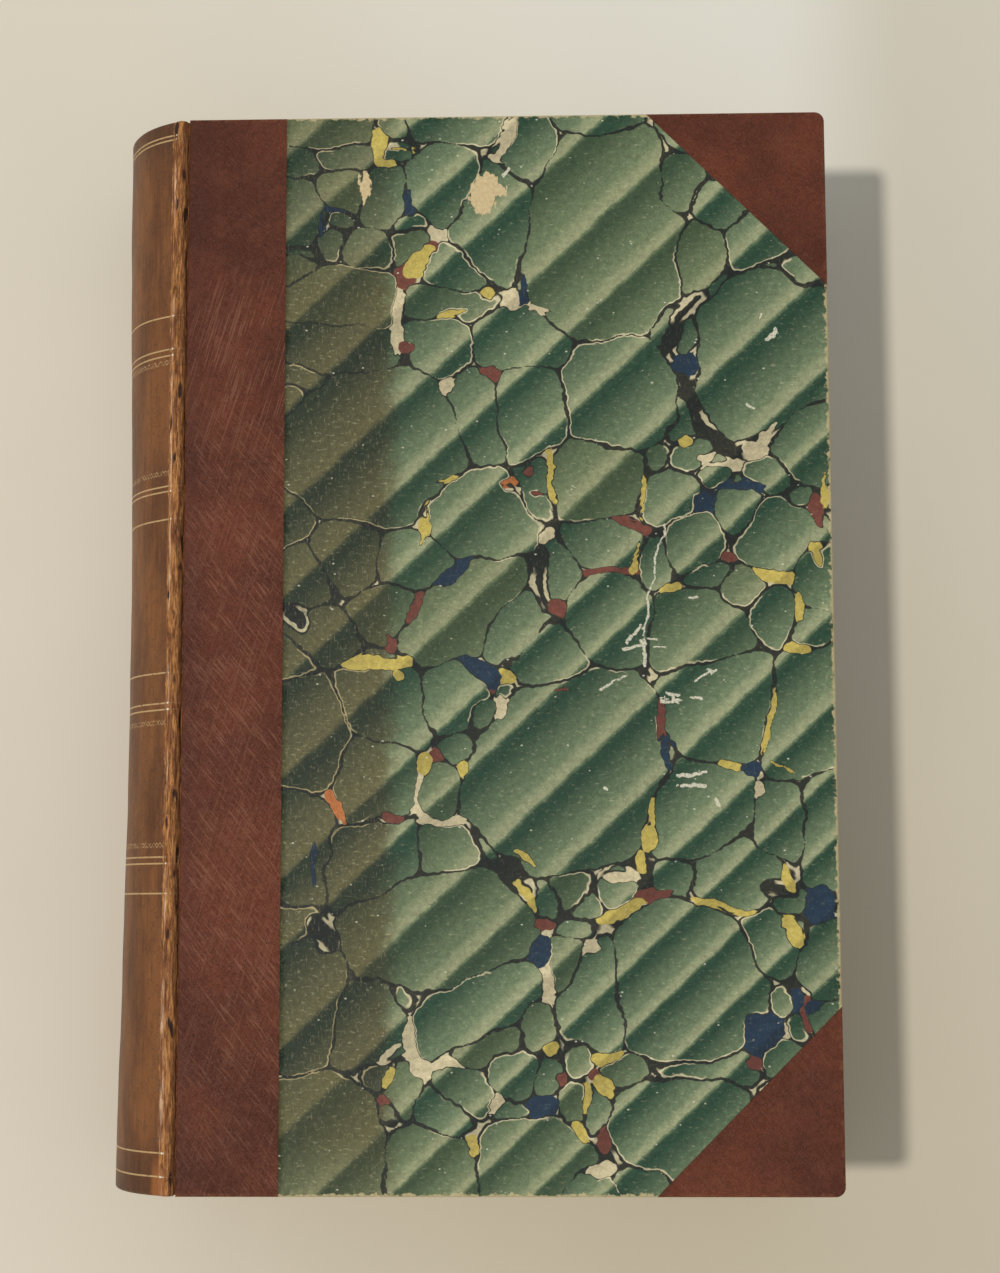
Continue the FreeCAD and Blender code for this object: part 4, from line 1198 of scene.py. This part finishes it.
endpaper = endpaperMaterial()
for side, upper in (("front", True), ("back", False)):
    shoulder = hingePaper(f"{side}_shoulder_paper", hinge["shoulder"], upper, endpaper)
    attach(shoulder, "text_block")
    edge = hingePaper(f"{side}_board_edge_paper", hinge["edge"], upper, endpaper)
    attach(edge, f"{side}_cover")
pasteboard = plainMaterial("pasteboard", tone(138, 122, 94), tone(112, 96, 70), 0.3, 0.9, 0.0001)
hemp = plainMaterial("hemp_cord", tone(150, 128, 88), tone(118, 96, 62), 0.8, 0.85, 0.0001, (1.0, 4.0, 1.0))
linen = plainMaterial("lining_linen", tone(176, 160, 126), tone(150, 132, 98), 0.4, 0.85, 0.0001, (3.0, 1.0, 1.0))
finishes = {
    "page_edges": (leavesMaterial(), ["text_block"]),
    "endpaper": (endpaper, ["front_flyleaf", "back_flyleaf", "front_pastedown", "back_pastedown"]),
    "pasteboard": (pasteboard, ["front_board", "back_board"]),
    "card": (card, ["front_filler", "back_filler"]),
    "hemp_cord": (hemp, ["sewing_cords", "front_cord_slips", "back_cord_slips"]),
    "lining_linen": (linen, ["spine_lining"]),
}
for slotName, (coating, names) in finishes.items():
    for name in names:
        dress(name, coating)
print("materials given to the plain pieces")


# Floor, light and camera

floorSize = 12.0
floorMesh = bpy.data.meshes.new("floor")
half = floorSize / 2
floorMesh.from_pydata([(-half, -half, 0), (half, -half, 0), (half, half, 0), (-half, half, 0)], [], [(0, 1, 2, 3)])
floor = bpy.data.objects.new("floor", floorMesh)
bpy.context.scene.collection.objects.link(floor)
floor.location.z = -0.0003


def floorMaterial():
    material, tree, shader = newMaterial("floor")
    place = millimetres(tree)
    along = parts(place)
    # Painted light: the floor is painted lighter towards the top and left and darker towards the bottom and right,
    # as a falloff of light from the upper left
    paintedFalloff = rise(along[1], -150.0, 150.0)
    base = mix(paintedFalloff, tone(194, 183, 160), tone(222, 218, 206))
    base = mix(rise(along[0], 60.0, -130.0), base, tone(217, 207, 189))
    base = mix(rise(along[0], 65.0, 100.0) * 0.6, base, tone(194, 184, 164))
    marks = noise(place, 0.012, 3.0, 0.5)
    base = shade(base, spread(marks, 0.3, 0.7, 0.975, 1.025))
    finish(tree, shader, base, 0.9, 0.1)

    # Seen from below, the floor is left out; it also lets light to the cover that lies on it
    behind = Value(tree, addNode(tree, "NewGeometry").outputs["Backfacing"])
    ray = Value(tree, addNode(tree, "LightPath").outputs["Ray Length"])
    near = calc("LESS_THAN", ray, 0.003)
    clear = addNode(tree, "BsdfTransparent").outputs[0]
    both = result("MixShader", {0: most(behind, near), 1: shader.outputs[0], 2: clear})
    connect(tree, tree.nodes["Material Output"], {"Surface": both})
    return material


floorMesh.materials.append(floorMaterial())

world = bpy.data.worlds.new("studio")
bpy.context.scene.world = world
world.use_nodes = True
sky = world.node_tree
light = sky.nodes["Background"]
connect(sky, light, {"Color": (0.93, 0.97, 1.0, 1.0), "Strength": 0.52})
wall = addNode(sky, "Background", {"Color": tone(214, 208, 194)}).outputs[0]
seen = addNode(sky, "LightPath").outputs["Is Camera Ray"]
backdrop = addNode(sky, "MixShader", {0: seen, 1: light.outputs[0], 2: wall}).outputs[0]
connect(sky, sky.nodes["World Output"], {"Surface": backdrop})

sun = bpy.data.objects.new("window", bpy.data.lights.new("window", "SUN"))
sun.data.energy = 1.78
sun.data.angle = math.radians(4.5)
sun.data.color = (1.0, 0.97, 0.92)
sun.rotation_euler = Vector((0.44, 0.03, -1.0)).to_track_quat("-Z", "Y").to_euler()
bpy.context.scene.collection.objects.link(sun)

camera = bpy.data.objects.new("camera", bpy.data.cameras.new("camera"))
camera.location = (0.0193, -0.0526, 0.4914)
camera.rotation_euler = [math.radians(turn) for turn in (6.78, 1.68, -0.17)]
camera.data.sensor_fit = "VERTICAL"
camera.data.sensor_height = 36.0
camera.data.lens = 63.35
bpy.context.scene.collection.objects.link(camera)
bpy.context.scene.camera = camera
bpy.context.scene.view_settings.view_transform = "Standard"
